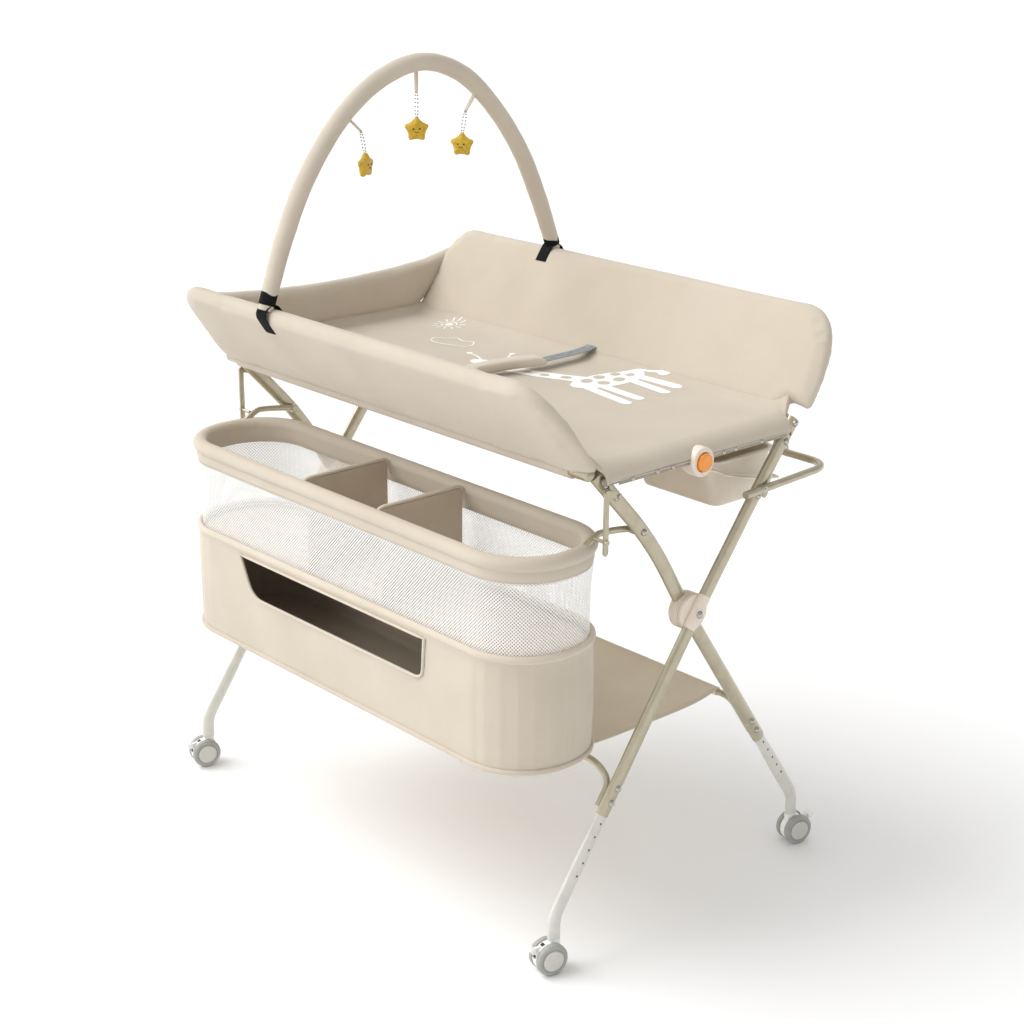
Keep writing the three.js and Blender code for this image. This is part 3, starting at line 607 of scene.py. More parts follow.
def eased(low, high, n, ends=0.35):
    """Stations between two ends, closer together near them."""
    t = np.linspace(0, 1, n)
    return low + (high - low) * (t - ends * np.sin(2 * np.pi * t) / (2 * np.pi) * 2)


# ---- legs, hubs and feet ----
def on_foot(side, z):
    """The point of a leg's straight lower part at a height."""
    return np.array([side * (HUB_Z - z) * LEG_SLOPE, z])


def at_x(x, flat):
    """Points given in Y and Z, set at one X."""
    return np.array([[x, y, z] for y, z in flat])


def dome(centre, radius, height, sign):
    """A rivet's domed head: a quarter of an ellipse turned about X, on a short straight rim."""
    a = np.linspace(0, np.pi / 2, 6)
    profile = np.vstack([[[0.01, -0.5]], [[radius, -0.5]],
                         np.stack([radius * np.cos(a), 0.3 + (height - 0.3) * np.sin(a)], 1)])
    profile[-1, 0] = 0.01
    return spin(profile, centre, (sign, 0, 0), 20)


def leg(x, top, foot_side):
    """A leg's flat-oval tube, from its open lower end up through the hub's plane to its top."""
    low = on_foot(foot_side, 197)
    path = bend(at_x(x, [low, *top]), 70, 14)
    first = path[0] + (path[1] - path[0]) * 0.002
    path = np.vstack([path[:1], first + directions(path[:2], False)[:1], path[1:]])
    scale = np.ones(len(path))
    scale[0] = 0.95
    return carry(path, oval(LEG_T, LEG_W, 32), (1, 0, 0), scale=scale)


def foot(x, side):
    """A telescopic foot: a flat oval that runs down the leg's line, bends upright at its stub,
    and swells by a straight ramp below the holes."""
    start = on_foot(side, 285)
    path = bend([[x, *start], [x, side * FOOT_END[0], FOOT_END[1]], [x, side * FOOT_END[0], 40]],
                30, 12)
    path = np.vstack([np.linspace(path[0], path[1], 24, endpoint=False), path[1:]])
    swell = 1 + 0.17 * np.clip((188 - path[:, 2]) / 50, 0, 1)
    return carry(path, oval(5.35, 9.35, 28), (1, 0, 0), scale=swell)


inner_bolts = [[-166, 668], [-147, 648], [-93, 587], on_foot(1, 232), on_foot(1, 214)]
outer_bolts = [[185, 691], [167, 668], [113, 599], on_foot(-1, 232), on_foot(-1, 214)]
for hand, s in ENDS.items():
    piece(f"inner_leg_{hand}", leg(s * INNER_X, INNER_TOP, 1), TUBE, "inner_legs",
          "tube_champagne", [f"leg_inner_{hand}"])
    piece(f"outer_leg_{hand}", leg(s * OUTER_X, OUTER_TOP, -1), TUBE, "outer_legs",
          "tube_champagne", [f"leg_outer_{hand}"])
    piece(f"inner_bolts_{hand}", merged(*[dome((s * (INNER_X + LEG_T), y, z), 5, 4, s)
          for y, z in inner_bolts]), CHROME, "inner_legs")
    piece(f"outer_bolts_{hand}", merged(*[dome((s * (OUTER_X + LEG_T), y, z), 5, 4, s)
          for y, z in outer_bolts]), CHROME, "outer_legs")
    barrel = spin(rounded_profile(HUB_R, 413.8, 420.5, 0.8, 2.5), (0, 0, HUB_Z), (s, 0, 0), 56)
    a, b = on_foot(-1, 430), np.array([17, 472])
    run = b - a
    t = np.array([0, 0.03, 0.12, 0.3, 0.5, 0.7, 0.88, 0.97, 1])
    sleeve = carry([[s * OUTER_X, *(a + run * k)] for k in t], oval(7.7, 11.8, 32), (1, 0, 0),
                   scale=[0.9, 0.96, 1, 1, 1, 1, 1, 0.96, 0.9])
    piece(f"hub_sleeve_{hand}", merged(barrel, sleeve), PLASTIC, "outer_legs", "plastic_beige")
    piece(f"hub_cover_plate_{hand}", spin(rounded_profile(HUB_R, 394, 409.5, 4, 0.8),
          (0, 0, HUB_Z), (s, 0, 0), 56), PLASTIC, "inner_legs", "plastic_beige",
          [f"hub_cover_{hand}"])
    washer = spin(rounded_profile(HUB_R, 409.9, 413.3, 0.6, 0.6), (0, 0, HUB_Z), (s, 0, 0), 56)
    piece(f"hub_washer_{hand}", washer, PLASTIC, "hub", "plastic_beige", [f"hub_disc_{hand}"])
    piece(f"hub_rivet_{hand}", merged(dome((s * 430.6, 0, HUB_Z), 5.6, 4.6, s),
          dome((s * 394, 0, HUB_Z), 6.2, 3, -s)), CHROME, "hub")
    for place, x, side in (("rear", INNER_X, 1), ("front", OUTER_X, -1)):
        body = f"foot_{place}_{hand}"
        piece(f"{place}_foot_{hand}", foot(s * x, side), FOOT, body, "foot_ivory", [body])
        # each hole is a black disc at the tube's face: painted shade inside the hole
        holes = [spin(rounded_profile(1.7, 4.9, 5.5 + i * 0.25, 0.1, 0.1, 3),
                      (s * x, *on_foot(side, 188 - i * 16)), (s, 0, 0), 14) for i in range(5)]
        piece(f"{place}_foot_holes_{hand}", merged(*holes), BLACK, body)


# ---- casters ----
def set_caster(shape, x, side, yaw):
    """A caster's shape, drawn with its stem on Z and its axle along X, put under its foot."""
    points, faces = shape
    return turned(points, yaw) + (x, side * FOOT_END[0], GROUND), faces


def wheel(s):
    """Half of a twin wheel: a soft tread with rounded shoulders, a step and a flat cap."""
    a = np.linspace(0, np.pi / 2, 6)
    shoulder = np.stack([19.5 + 4 * np.cos(a), 12 + 4 * np.sin(a)], 1)
    tread = np.vstack([[[0.01, 6]], [[21, 6]], [[23, 7]], [[23.5, 8.5]], shoulder,
                       [[17.6, 16]], [[17, 15.4]], [[0.01, 15.4]]])
    cap = rounded_profile(15.2, 14.5, 18, 0.3, 1.6)
    middle = (0, AXLE_Y, WHEEL_R)
    return spin(tread, middle, (s, 0, 0), 48), spin(cap, middle, (s, 0, 0), 40)


def copied(node, name, finish, join_deg=0):
    """A CAD part's solid as a mesh of its own, with its loose triangles merged and, if asked,
    its flat faces joined."""
    made = linked(name, frame["nodes"][node].data.copy())
    work = bmesh.new()
    work.from_mesh(made.data)
    bmesh.ops.remove_doubles(work, verts=work.verts, dist=SAME_POINT)
    if join_deg:
        bmesh.ops.dissolve_limit(work, angle_limit=math.radians(join_deg), verts=work.verts,
                                 edges=work.edges)
        bmesh.ops.recalc_face_normals(work, faces=work.faces)
    work.to_mesh(made.data)
    work.free()
    made.data.materials.clear()
    made.data.materials.append(finish)
    return made


def refined(node, name, finish, body, bevel_mm=0.7):
    """A moulded or pressed part: its solid with flat faces joined and its edges rounded."""
    made = copied(node, name, finish, 4)
    modifier(made, "BEVEL", width=bevel_mm / 1000, segments=2, limit_method="ANGLE",
             angle_limit=math.radians(38))
    settle(made)
    shade_smooth(made.data)
    made.data.set_sharp_from_angle(angle=math.radians(45))
    return dress(made, body, [node])


SPOTS = (("front_R", OUTER_X, -1, CASTER_YAW + math.pi), ("rear_R", INNER_X, 1, CASTER_YAW),
         ("front_L", -OUTER_X, -1, CASTER_YAW + math.pi), ("rear_L", -INNER_X, 1, CASTER_YAW))
for where, x, side, yaw in SPOTS:
    spot = (x, side, yaw)
    refined(f"caster_{where}", f"caster_hood_{where}", WHITE, f"caster_{where}")
    refined(f"brake_{where}", f"brake_lever_{where}", WHITE, f"brake_{where}", 0.6)
    shroud = spin(rounded_profile(SHROUD_R, -5.7, 5.7, 1, 1), (0, AXLE_Y, WHEEL_R), (1, 0, 0), 48)
    piece(f"caster_shroud_{where}", set_caster(shroud, *spot), WHITE, f"caster_{where}",
          "caster_white")
    # the slots are black strips on the shroud: painted shade inside them
    slots = []
    for t in (0.12, 1.05):
        arc = np.array([t, t + 0.09, t + 0.18])
        line = np.stack([AXLE_Y + SLOT_R * np.cos(arc), WHEEL_R + SLOT_R * np.sin(arc)], 1)
        slots.append(prism(stroke(line, 1.4), -3.4, 3.4, end_on))
    piece(f"caster_slots_{where}", set_caster(merged(*slots), *spot), BLACK, f"caster_{where}")
    (tread_r, cap_r), (tread_l, cap_l) = wheel(1), wheel(-1)
    axle = spin(rounded_profile(3.8, -10, 10, 0.3, 0.3), (0, AXLE_Y, WHEEL_R), (1, 0, 0), 20)
    piece(f"tyres_{where}", set_caster(merged(tread_r, tread_l, axle), *spot), TYRE,
          f"wheels_{where}", "tyre_grey", [f"wheels_{where}"])
    piece(f"wheel_caps_{where}", set_caster(merged(cap_r, cap_l), *spot), CAP,
          f"wheels_{where}", "tyre_grey")


# ---- tubes under the tray ----
for name, (y, z), half, body in (("front_tube", FRONT_TUBE, 406, "inner_legs"),
                                 ("rear_tube", REAR_TUBE, 411, "outer_legs")):
    profile = rounded_profile(10, -half - 2, half + 2, 3, 3)
    piece(f"long_{name}", spin(profile, (0, y, z), (1, 0, 0), 36), TUBE, body,
          "tube_champagne", [name])


# ---- the padded tray ----
def lean(side, tube, rise):
    """Turns along, thickness and height of a side wall into space: it leans outward."""
    out, up = rise
    length = math.hypot(out, up)
    climb = np.array([side * out, up]) / length
    inward = np.array([-side * up, out]) / length
    foot_at = np.array([tube[0] + 2 * side, tube[1] + 2])

    def place(p):
        yz = foot_at + p[:, 2:] * climb + p[:, 1:2] * inward
        return np.column_stack([p[:, 0], yz])
    return place, length - 3


def ripple(p, size, height):
    """Small soft hollows as in cloth over foam: a sum of three waves of unlike lengths."""
    a = np.sin(p[:, 0] / size * 1.0 + 1.3 * np.sin(p[:, 2] / size * 0.9))
    b = np.sin(p[:, 0] / size * 0.37 + p[:, 2] / size * 0.71 + 2.0)
    c = np.sin(p[:, 1] / size * 1.3 + p[:, 0] / size * 0.23 + 0.7)
    return height * (a + b + c) / 3


def side_wall(name, node, side, tube, rise, body, lift, far):
    """One padded side of the tray, rounded at both its top corners."""
    place, h = lean(side, tube, rise)
    x = eased(-419, far, 120, 0.42)
    right = np.clip((x - far + 82) / 82, 0, 1)
    left = np.clip((-352 - x) / 67, 0, 1)
    top = 24 + (h - 24) * (1 - right ** 2.3) ** (1 / 2.3) * (1 - left ** 2.6) ** (1 / 2.6)
    low = np.where(x > 391, lift * np.clip((x - 391) / 16, 0, 1) ** 0.8, 0)
    low = np.minimum(low + 16 * np.clip((-392 - x) / 25, 0, 1), top - 2)
    shape = pillow(x, low + 1, top - 1, 10.6, 26, 10, place, crown=0.08)
    wall = stuffed(raw(name, shape, CLOTH, sharp=180), 5, 3.5, 3)
    co = coordinates(wall)
    normal = np.zeros(len(co) * 3)
    wall.data.vertices.foreach_get("normal", normal)
    set_coordinates(wall, co + normal.reshape(-1, 3)
                    * (ripple(co * 1000, 46, 0.7)[:, None]) / 1000)
    dress(wall, body, [node])
    sleeve = spin(rounded_profile(12.6, -378, 378, 1, 1), (0, *tube), (1, 0, 0), 36)
    piece(f"{name}_sleeve", sleeve, CLOTH, body, "fabric_beige")


side_wall("front_side_wall", "front_wall", -1, FRONT_TUBE, FRONT_LEAN, "inner_legs", 7, 430)
side_wall("rear_side_wall", "rear_wall", 1, REAR_TUBE, REAR_LEAN, "outer_legs", 20, 447)

def deck_height(x, y):
    """The deck's height: level, with a slack of a millimetre or two between its long tubes."""
    slack = np.clip(1 - (y / 170) ** 2, 0, 1) * np.clip((x + 400) / 120, 0, 1)
    wave = np.sin(x / 61 + 1.1 * np.sin(y / 83)) + np.sin(x / 27 - y / 44)
    return DECK_Z + 0.8 - 1.8 * slack + 0.35 * wave * slack


LINER_ACROSS = bend([[-229, 746], [-193, DECK_Z], [0, DECK_Z], [182.5, DECK_Z], [216, 746]], 50, 16)


def print_height(x, y):
    """The liner's height under a print, with its curve up the side walls."""
    return deck_height(x, y) + np.interp(y, LINER_ACROSS[:, 0], LINER_ACROSS[:, 1]) - DECK_Z


def liner():
    """The tray's liner: a level floor that curves up the side walls and the end wall by 44 mm,
    as parabolas, and turns down over the open end on a radius of 25 mm."""
    across = LINER_ACROSS
    flat = np.linspace(-140, 140, 30)
    keep_low, keep_high = across[:, 0] < -143, across[:, 0] > 139
    across = np.vstack([across[keep_low], np.stack([flat, np.full(30, DECK_Z)], 1),
                        across[keep_high]])
    along = bend([[-406, 745], [-402, DECK_Z], [0, DECK_Z]], 44, 14)
    inner = np.linspace(-352, 396, 70)
    a = np.linspace(0, np.pi / 2, 14)
    roll = np.stack([400 + 31.5 * np.sin(a), DECK_Z - 24.5 * (1 - np.cos(a))], 1)
    along = np.vstack([along[along[:, 0] < -355], np.stack([inner, np.full(70, DECK_Z)], 1), roll])
    rise_y, rise_x = across[:, 1] - DECK_Z, along[:, 1] - DECK_Z
    x = np.repeat(along[:, :1], len(across), 1)
    y = np.repeat(across[None, :, 0], len(along), 0)
    fade = 1 - np.clip(rise_y / 12, 0, 1) * (rise_x > 0)[:, None]
    near_end = np.clip((x - 398) / 33, 0, 1)
    draw_in = np.clip((x - 396) / 20, 0, 1)
    y = y + draw_in * (np.clip(y, -190, 180) - y) - near_end * 5 * np.clip(y / 180, -1, 1) ** 9
    drop = np.clip((x - 396) / 20, 0, 1)
    z = (deck_height(x, y) + rise_y[None] * (1 - drop) + rise_x[:, None] * fade)
    points = np.stack([x, y, z], -1).reshape(-1, 3)
    return points, quads(len(along), len(across)).tolist()


deck = raw("tray_liner", liner(), CLOTH_FLAT, sharp=180)
modifier(deck, "SOLIDIFY", thickness=0.0065, offset=-1)
settle(deck)
dress(deck, "tray_soft", ["deck"], TRAY_GATHER)


def end_wall():
    """The padded board across the closed end; its top dips by a parabola between the sides."""
    y = eased(-267, 276, 90, 0.4)
    middle = (y - 4) / 262
    top = 785 + 17 * middle ** 2
    reach = np.clip((np.abs(y - 2) - 180) / 92, 0, 1)
    low = np.minimum(706 + 74 * reach, top - 4)

    def place(p):
        return np.column_stack([END_WALL_X + p[:, 1], p[:, 0], p[:, 2]])
    return pillow(y, low, top - 1, 9.8, 14, 9, place, crown=0.08)


end = stuffed(raw("end_board", end_wall(), CLOTH, sharp=180), 5, 3, 3)
dress(end, "tray_soft", ["end_wall"], TRAY_GATHER)


# ---- the print on the liner ----
def inlay(outlines, lift=0.35):
    """Flat shapes printed on the liner: each outline filled with small triangles that lie on it."""
    shapes = []
    for outline in outlines:
        edge = np.asarray(outline, float)
        low, high = edge.min(0), edge.max(0)
        grid = np.stack(np.meshgrid(np.arange(low[0], high[0], 9), np.arange(low[1], high[1], 9)),
                        -1).reshape(-1, 2)
        allp = [Vector(p) for p in np.vstack([edge, grid])]
        ring = [[i, (i + 1) % len(edge)] for i in range(len(edge))]
        out = delaunay_2d_cdt(allp, ring, [list(range(len(edge)))], 1, 0.01)
        flat = np.array([tuple(v) for v in out[0]])
        points = np.column_stack([flat, print_height(flat[:, 0], flat[:, 1]) + lift])
        shapes.append((points, [list(f) for f in out[2]]))
    return merged(*shapes)


def blob(centre, a, b, turn=0.0, n=24):
    """An ellipse turned about its centre."""
    c, s = math.cos(turn), math.sin(turn)
    return oval(a, b, n) @ np.array([[c, s], [-s, c]]) + centre


def ring_stroke(centre, radius, width):
    """A circle drawn with a round brush, left open by a tenth."""
    t = np.linspace(0.3, 2 * np.pi * 0.93, 30)
    return stroke(np.stack([centre[0] + radius * np.cos(t), centre[1] + radius * np.sin(t)], 1), width)


def drawing():
    """A child's drawing in white: a sun, a cloud and a long-necked animal of the maker's own,
    which stands with its feet towards the open end."""
    marks = [ring_stroke((-290, 157), 13, 2.4), blob((-290, 157), 7, 7)]
    for k in range(12):
        d = np.array([math.cos(k * math.pi / 6), math.sin(k * math.pi / 6)])
        marks.append(stroke([(-290, 157) + d * 19, (-290, 157) + d * 23, (-290, 157) + d * 27], 2.6))
    cloud = curve([(-236, 72), (-240, 86), (-226, 94), (-214, 108), (-194, 104), (-178, 112),
                   (-164, 98), (-166, 84), (-180, 78), (-200, 70), (-220, 66), (-232, 69)], 6)
    marks.append(stroke(cloud, 2.4))
    marks.append(blob((-66, 42), 30, 15, 0.2, 32))
    marks += [stroke(curve([(-58, 54), (-66, 82), (-78, 104)], 4), 3), blob((-80, 108), 5, 5),
              stroke(curve([(-84, 48), (-106, 58), (-126, 62)], 4), 3), blob((-130, 63), 5, 5),
              blob((-30, 76), 5, 17, 0.1)]
    neck = curve([(-56, 40), (-10, 48), (40, 58), (84, 76), (116, 92)], 6)
    marks.append(stroke(neck, 30))
    marks.append(blob((128, 112), 31, 66, -0.12, 48))
    for (x0, y0), (x1, y1) in (((134, 62), (232, 46)), ((140, 84), (228, 76)),
                               ((144, 138), (230, 128)), ((138, 158), (224, 160))):
        marks.append(stroke([(x0, y0), ((x0 + x1) / 2, (y0 + y1) / 2), (x1, y1)], 17))
    marks.append(stroke(curve([(112, 160), (126, 176), (148, 180), (166, 184)], 6), 3.6))
    marks.append(blob((174, 185), 11, 6, 0.2))
    for x in (150, 163, 176):
        marks.append(stroke([(x, -70), (x + 1, -60), (x + 2, -50)], 2.6))
    return marks


def spots():
    """The animal's patches, which leave the liner's colour showing."""
    places = ((112, 84, 9, 11), (136, 96, 10, 9), (110, 112, 9, 10), (138, 126, 9, 11),
              (114, 142, 8, 9), (132, 156, 7, 8), (78, 74, 9, 7), (46, 60, 8, 6), (14, 54, 7, 5))
    return [blob((x, y), a, b, 0.4, 16) for x, y, a, b in places]


piece("deck_drawing", inlay(drawing()), INK, "tray_soft", gather=TRAY_GATHER, outward=False,
      sharp=180)
piece("deck_drawing_patches", inlay(spots() + [blob((-74, 44), 2.2, 2.2)], 0.6), CLOTH_FLAT,
      "tray_soft", gather=TRAY_GATHER, outward=False, sharp=180)


# ---- the safety belt ----
def belt_x(y):
    """The belt's line across the deck: it lies a little askew."""
    return np.interp(y, [-172, -52, -25, 82, 210], [-18, -17, -14, 13, 14])


def ribbon(path_yz, half, thick):
    """A strap with rounded edges and the given half width that follows the belt's line."""
    path = np.array([[belt_x(y), y, z] for y, z in path_yz])
    return carry(path, strap_section(half, thick, 28, 0.35), (1, 0, 0))


belt_top = bend([[-172, 708], [-52, 709], [-36, 714.5]], 12, 5)
strap_rear = curve([(78, 717), (112, 717.5), (150, 718), (180, 720), (202, 725)], 8)
piece("belt_webbing", merged(ribbon(belt_top, 11, 1.6), ribbon(strap_rear, 11, 1.8)), GREY_WEB,
      "tray_soft", "webbing_grey", ["belt_strap"], TRAY_GATHER)
pad_y = eased(-46, 84, 60, 0.3)
lift_at = np.interp(pad_y, [-46, -30, 20, 60, 84], [713, 716, 718.5, 719, 717])
pad_shape = pillow(pad_y, np.full(60, -15.0), np.full(60, 15.0), 6, 10, 5.2,
                   lambda p: np.column_stack([belt_x(p[:, 0]) + p[:, 2], p[:, 0],
                                              np.interp(p[:, 0], pad_y, lift_at) + p[:, 1]]), 0.2)
belt = stuffed(raw("belt_cover", pad_shape, PIPING, sharp=180), 2, 1.2, 2)
dress(belt, "tray_soft", ["belt_pad"], TRAY_GATHER)


# ---- the end rails with their locks ----
for hand, s in ENDS.items():
    refined(f"rail_front_{hand}", f"front_half_rail_{hand}", STEEL, "front_rails", 0.5)
    flat_bar = bend([(-12, 682.5), (168, 682.5), (174, 676), (168, 669.5), (-12, 669.5), (-12, 682)],
                    3, 4)[:-1]
    bar = prism(flat_bar, s * 412.2, s * 415.2, end_on)
    back = spin(rounded_profile(19, 412, 417.5, 1, 1), (0, LOCK_Y, RAIL_Z), (s, 0, 0), 48)
    piece(f"rear_half_rail_{hand}", merged(bar, back), PLASTIC, "rear_rails", "plastic_beige",
          [f"rail_rear_{hand}"])
    a = np.linspace(0, np.pi / 2, 7)
    bezel = np.vstack([[[13.4, 417]], [[20, 417]], [[21, 419]], np.stack([18 + 3 * np.cos(a),
                       435 + 3 * np.sin(a)], 1), [[14.2, 437.6]], [[13.5, 436]]])
    points, _ = spin(bezel, (0, LOCK_Y, RAIL_Z), (s, 0, 0), 56)
    piece(f"lock_bezel_{hand}", (points, quads(len(bezel), 56, True, True).tolist()), PLASTIC,
          "rear_rails", "plastic_beige")
    press = np.vstack([[[0.01, 428]], [[12.9, 428]], np.stack([9.9 + 3 * np.cos(a),
                       440 + 3.4 * np.sin(a)], 1), [[6, 443]], [[0.01, 442.8]]])
    piece(f"release_button_{hand}", spin(press, (0, LOCK_Y, RAIL_Z), (s, 0, 0), 44), ORANGE,
          f"button_{hand}", "button_orange", [f"button_{hand}"])


# ---- the strip that clips the liner's hem, with its rivets ----
strip = prism(bend([[-166, 676], [-166, 683], [166, 683], [166, 676], [-166, 676]], 1, 3)[:-1],
              429.6, 431.4, end_on)
studs = [dome((431.2, y, 679.5), 3.4, 2.6, 1) for y in (-142, -96, -66, 34, 58, 112)]
piece("hem_strip", strip, STEEL, "tray_soft", "rail_dark", gather=TRAY_GATHER)
piece("hem_rivets", merged(*studs), CHROME, "tray_soft", gather=TRAY_GATHER)


# ---- the basket ----
def outline_normals(flat):
    """Unit normals of a closed outline seen from above, away from its middle."""
    t = directions(flat, True)
    return np.stack([t[:, 1], -t[:, 0]], 1)


def basket_ring(section, inset=0.0):
    """A section of reach and height carried round the basket; reach is measured outward."""
    flat, s = plan(inset), np.asarray(section, float)
    points = np.zeros((len(flat), len(s), 3))
    points[:, :, :2] = flat[:, None] + outline_normals(flat)[:, None] * s[None, :, :1]
    points[:, :, 2] = s[None, :, 1]
    return points.reshape(-1, 3), quads(len(flat), len(s), True, True).tolist()


a = np.linspace(-0.35 * np.pi, 1.12 * np.pi, 18)
roll = np.stack([-11.6 + 11 * np.cos(a), 577 + 10.6 * np.sin(a)], 1)
rim_section = np.vstack([roll, [[-18.5, 560], [-17.5, 549.5], [-15.5, 548], [-9.5, 548],
                                [-7.6, 549.5], [-5.2, 560]]])
piece("basket_padded_rim", basket_ring(rim_section), CLOTH, "inner_legs", "fabric_beige",
      ["basket_rim"], fill=0.9, sharp=60)

flat = plan(6.5, 26, 60)
rows = np.linspace(0, 1, 9)
reach = 3.2 * rows ** 2 - 1.2 * np.sin(np.pi * rows)
net_points = np.zeros((9, len(flat), 3))
net_points[..., :2] = flat + outline_normals(flat) * (reach - 3)[:, None, None]
net_points[..., 2] = (440 + 112 * rows)[:, None]
loop = np.concatenate([[0], np.cumsum(np.linalg.norm(np.diff(flat, axis=0), axis=1))]) / 1000
net_points = np.concatenate([net_points, net_points[:, :1]], 1)
girth = loop[-1] + np.linalg.norm(flat[0] - flat[-1]) / 1000
loop = np.append(loop, girth)
net_uv = np.stack(np.meshgrid(loop, 0.112 * rows), -1).reshape(-1, 2)
piece("basket_net", (net_points.reshape(-1, 3), quads(9, len(loop)).tolist()), NET,
      "inner_legs", "mesh_white", ["basket_mesh"], uv=net_uv, outward=False, sharp=180)

a = np.linspace(0, 2 * np.pi, 12, endpoint=False)
for name, z, r, inset, finish in (("bin_top_piping", 444, 4.6, 5.5, PIPING),
                                  ("bin_base_piping", 281, 3.2, 3.6, CLOTH)):
    piece(name, basket_ring(np.stack([r * np.cos(a), z + r * 1.2 * np.sin(a)], 1), inset), finish,
          "inner_legs", "fabric_beige")


def softened(node, name, finish, voxel_mm, smooth, bulge=None):
    """A sewn board part: its solid remeshed finely and relaxed, so that its edges turn soft."""
    made = copied(node, name, finish)
    modifier(made, "REMESH", mode="VOXEL", voxel_size=voxel_mm / 1000)
    modifier(made, "SMOOTH", factor=0.5, iterations=smooth)
    settle(made)
    if bulge:
        co = coordinates(made) * 1000 - DATUM
        set_coordinates(made, (bulge(co) + DATUM) / 1000)
    shade_smooth(made.data)
    return dress(made, "inner_legs", [node])


def bin_bulge(p):
    """Cloth walls on board: they belly out by 2 mm at half height and ripple near the ends."""
    z = np.clip((p[:, 2] - 283) / 150, 0, 1)
    d = p[:, :2] - (0, BASKET_Y)
    wall = np.clip((np.abs(d[:, 1]) - 80) / 14, 0, 1) + np.clip((np.abs(d[:, 0]) - 330) / 60, 0, 1)
    belly = 1.6 * np.sin(np.pi * z) * np.clip(wall, 0, 1)
    belly += 0.7 * np.sin(p[:, 0] / 21 + 2 * np.sin(z * 4)) * np.clip(wall, 0, 1) * np.sin(np.pi * z)
    centre = np.stack([np.clip(d[:, 0], -310, 310), np.zeros(len(d))], 1)
    away = d - centre
    away /= np.maximum(np.linalg.norm(away, axis=1, keepdims=True), 1)
    out = p.copy()
    out[:, :2] += away * belly[:, None]
    return out


softened("basket_bin", "storage_bin", CLOTH, 2.6, 4, bin_bulge)
# the floor and dividers take the darker cloth, which paints the shade inside the basket
softened("basket_floor_dividers", "basket_dividers", CLOTH_PAINTED_SHADE, 2.4, 3)


def opening_edge():
    """The bin's front opening: a trapezoid with rounded lower corners, drawn on the front face."""
    t = np.linspace(0, 1, 10)[:, None]
    low = [(211, 388), (210, 371), (190, 371)], [(-172, 371), (-195, 371), (-206, 394)]
    turns = [np.array(p) * (1 - t) ** 2 + 2 * np.array(q) * t * (1 - t) + np.array(r) * t ** 2
             for p, q, r in low]
    straight = np.linspace(turns[0][-1], turns[1][0], 20)[1:-1]
    top = np.linspace((-225, 433), (214, 433), 30)
    return np.vstack([turns[0], straight, turns[1], top])


edge = opening_edge()
edge_path = np.column_stack([edge[:, 0], np.full(len(edge), BASKET_Y - BASKET_W + 2.6), edge[:, 1]])
piece("opening_binding", carry(edge_path, oval(2.6, 2.2, 10), (0, 1, 0), closed=True), PIPING,
      "inner_legs", "fabric_beige")
for k, x in enumerate((-80, 93)):
    top = bend([[x, -304, 560], [x, -300, 586], [x, -144, 586], [x, -138, 560]], 12, 6)
    piece(f"divider_piping_{k + 1}", carry(top, oval(3.0, 2.6, 12), (1, 0, 0)), PIPING,
          "inner_legs", "fabric_beige")

BAR_LINE = [[388, -93, 587], [388, -118, 592], [390, -150, 596], [390, -168, 594], [389.5, -206, 572]]
for hand, s in ENDS.items():
    bar = carry(curve(BAR_LINE, 6), oval(4.6, 4.6, 20), (1, 0, 0))
    eye = spin(rounded_profile(7, 381.5, 393.7, 1.5, 1.5), (0, -93, 587), (1, 0, 0), 28)
    piece(f"basket_hanger_{hand}", mirrored(merged(bar, eye), s), TUBE, "inner_legs",
          "tube_champagne", [f"basket_bar_{hand}"])
    refined(f"basket_link_{hand}", f"basket_hook_plate_{hand}", TUBE, "inner_legs",
            0.5)


# ---- rear rail, tub and its wire cradle ----
rail_path = bend([[-436.2, 78, 609], [-436.2, 258, 616], [436.2, 258, 616], [436.2, 78, 609]], 34, 12)
fine = np.vstack([np.linspace(p, q, 3, endpoint=False) for p, q in zip(rail_path[:-1], rail_path[1:])]
                 + [rail_path[-1:]])
round_rail = carry(fine, oval(5.6, 5.6, 24), (0, 0, 1))
eyes = [mirrored(spin(rounded_profile(6.6, 430.6, 442, 1.2, 1.2), (0, 113, 610), (1, 0, 0), 24), s)
        for s in (1, -1)]
outline = [(163, 669), (170, 666), (151, 588), (145, 584), (140, 590)]
plate = prism(bend(outline + outline[:1], 3, 4)[:-1], 411.2, 414.4, end_on)
plates = [mirrored(plate, s) for s in (1, -1)]
piece("rear_rail", merged(round_rail, *eyes, *plates), TUBE, "outer_legs", "tube_champagne",
      ["towel_rail"])
piece("rear_rail_rivets", merged(*[dome((s * 414.2, 146, 611), 4.4, 2.2, s) for s in (1, -1)],
      *[dome((s * 441.5, 113, 610), 4.2, 2, s) for s in (1, -1)]), CHROME, "outer_legs")


def round_box(x0, x1, y0, y1, r, n=10):
    """A rounded rectangle seen from above, counter-clockwise."""
    a = np.linspace(0, np.pi / 2, n)
    corners = ((x1 - r, y1 - r, 0), (x0 + r, y1 - r, 1), (x0 + r, y0 + r, 2), (x1 - r, y0 + r, 3))
    return np.vstack([np.stack([cx + r * np.cos(a + k * np.pi / 2),
                                cy + r * np.sin(a + k * np.pi / 2)], 1) for cx, cy, k in corners])


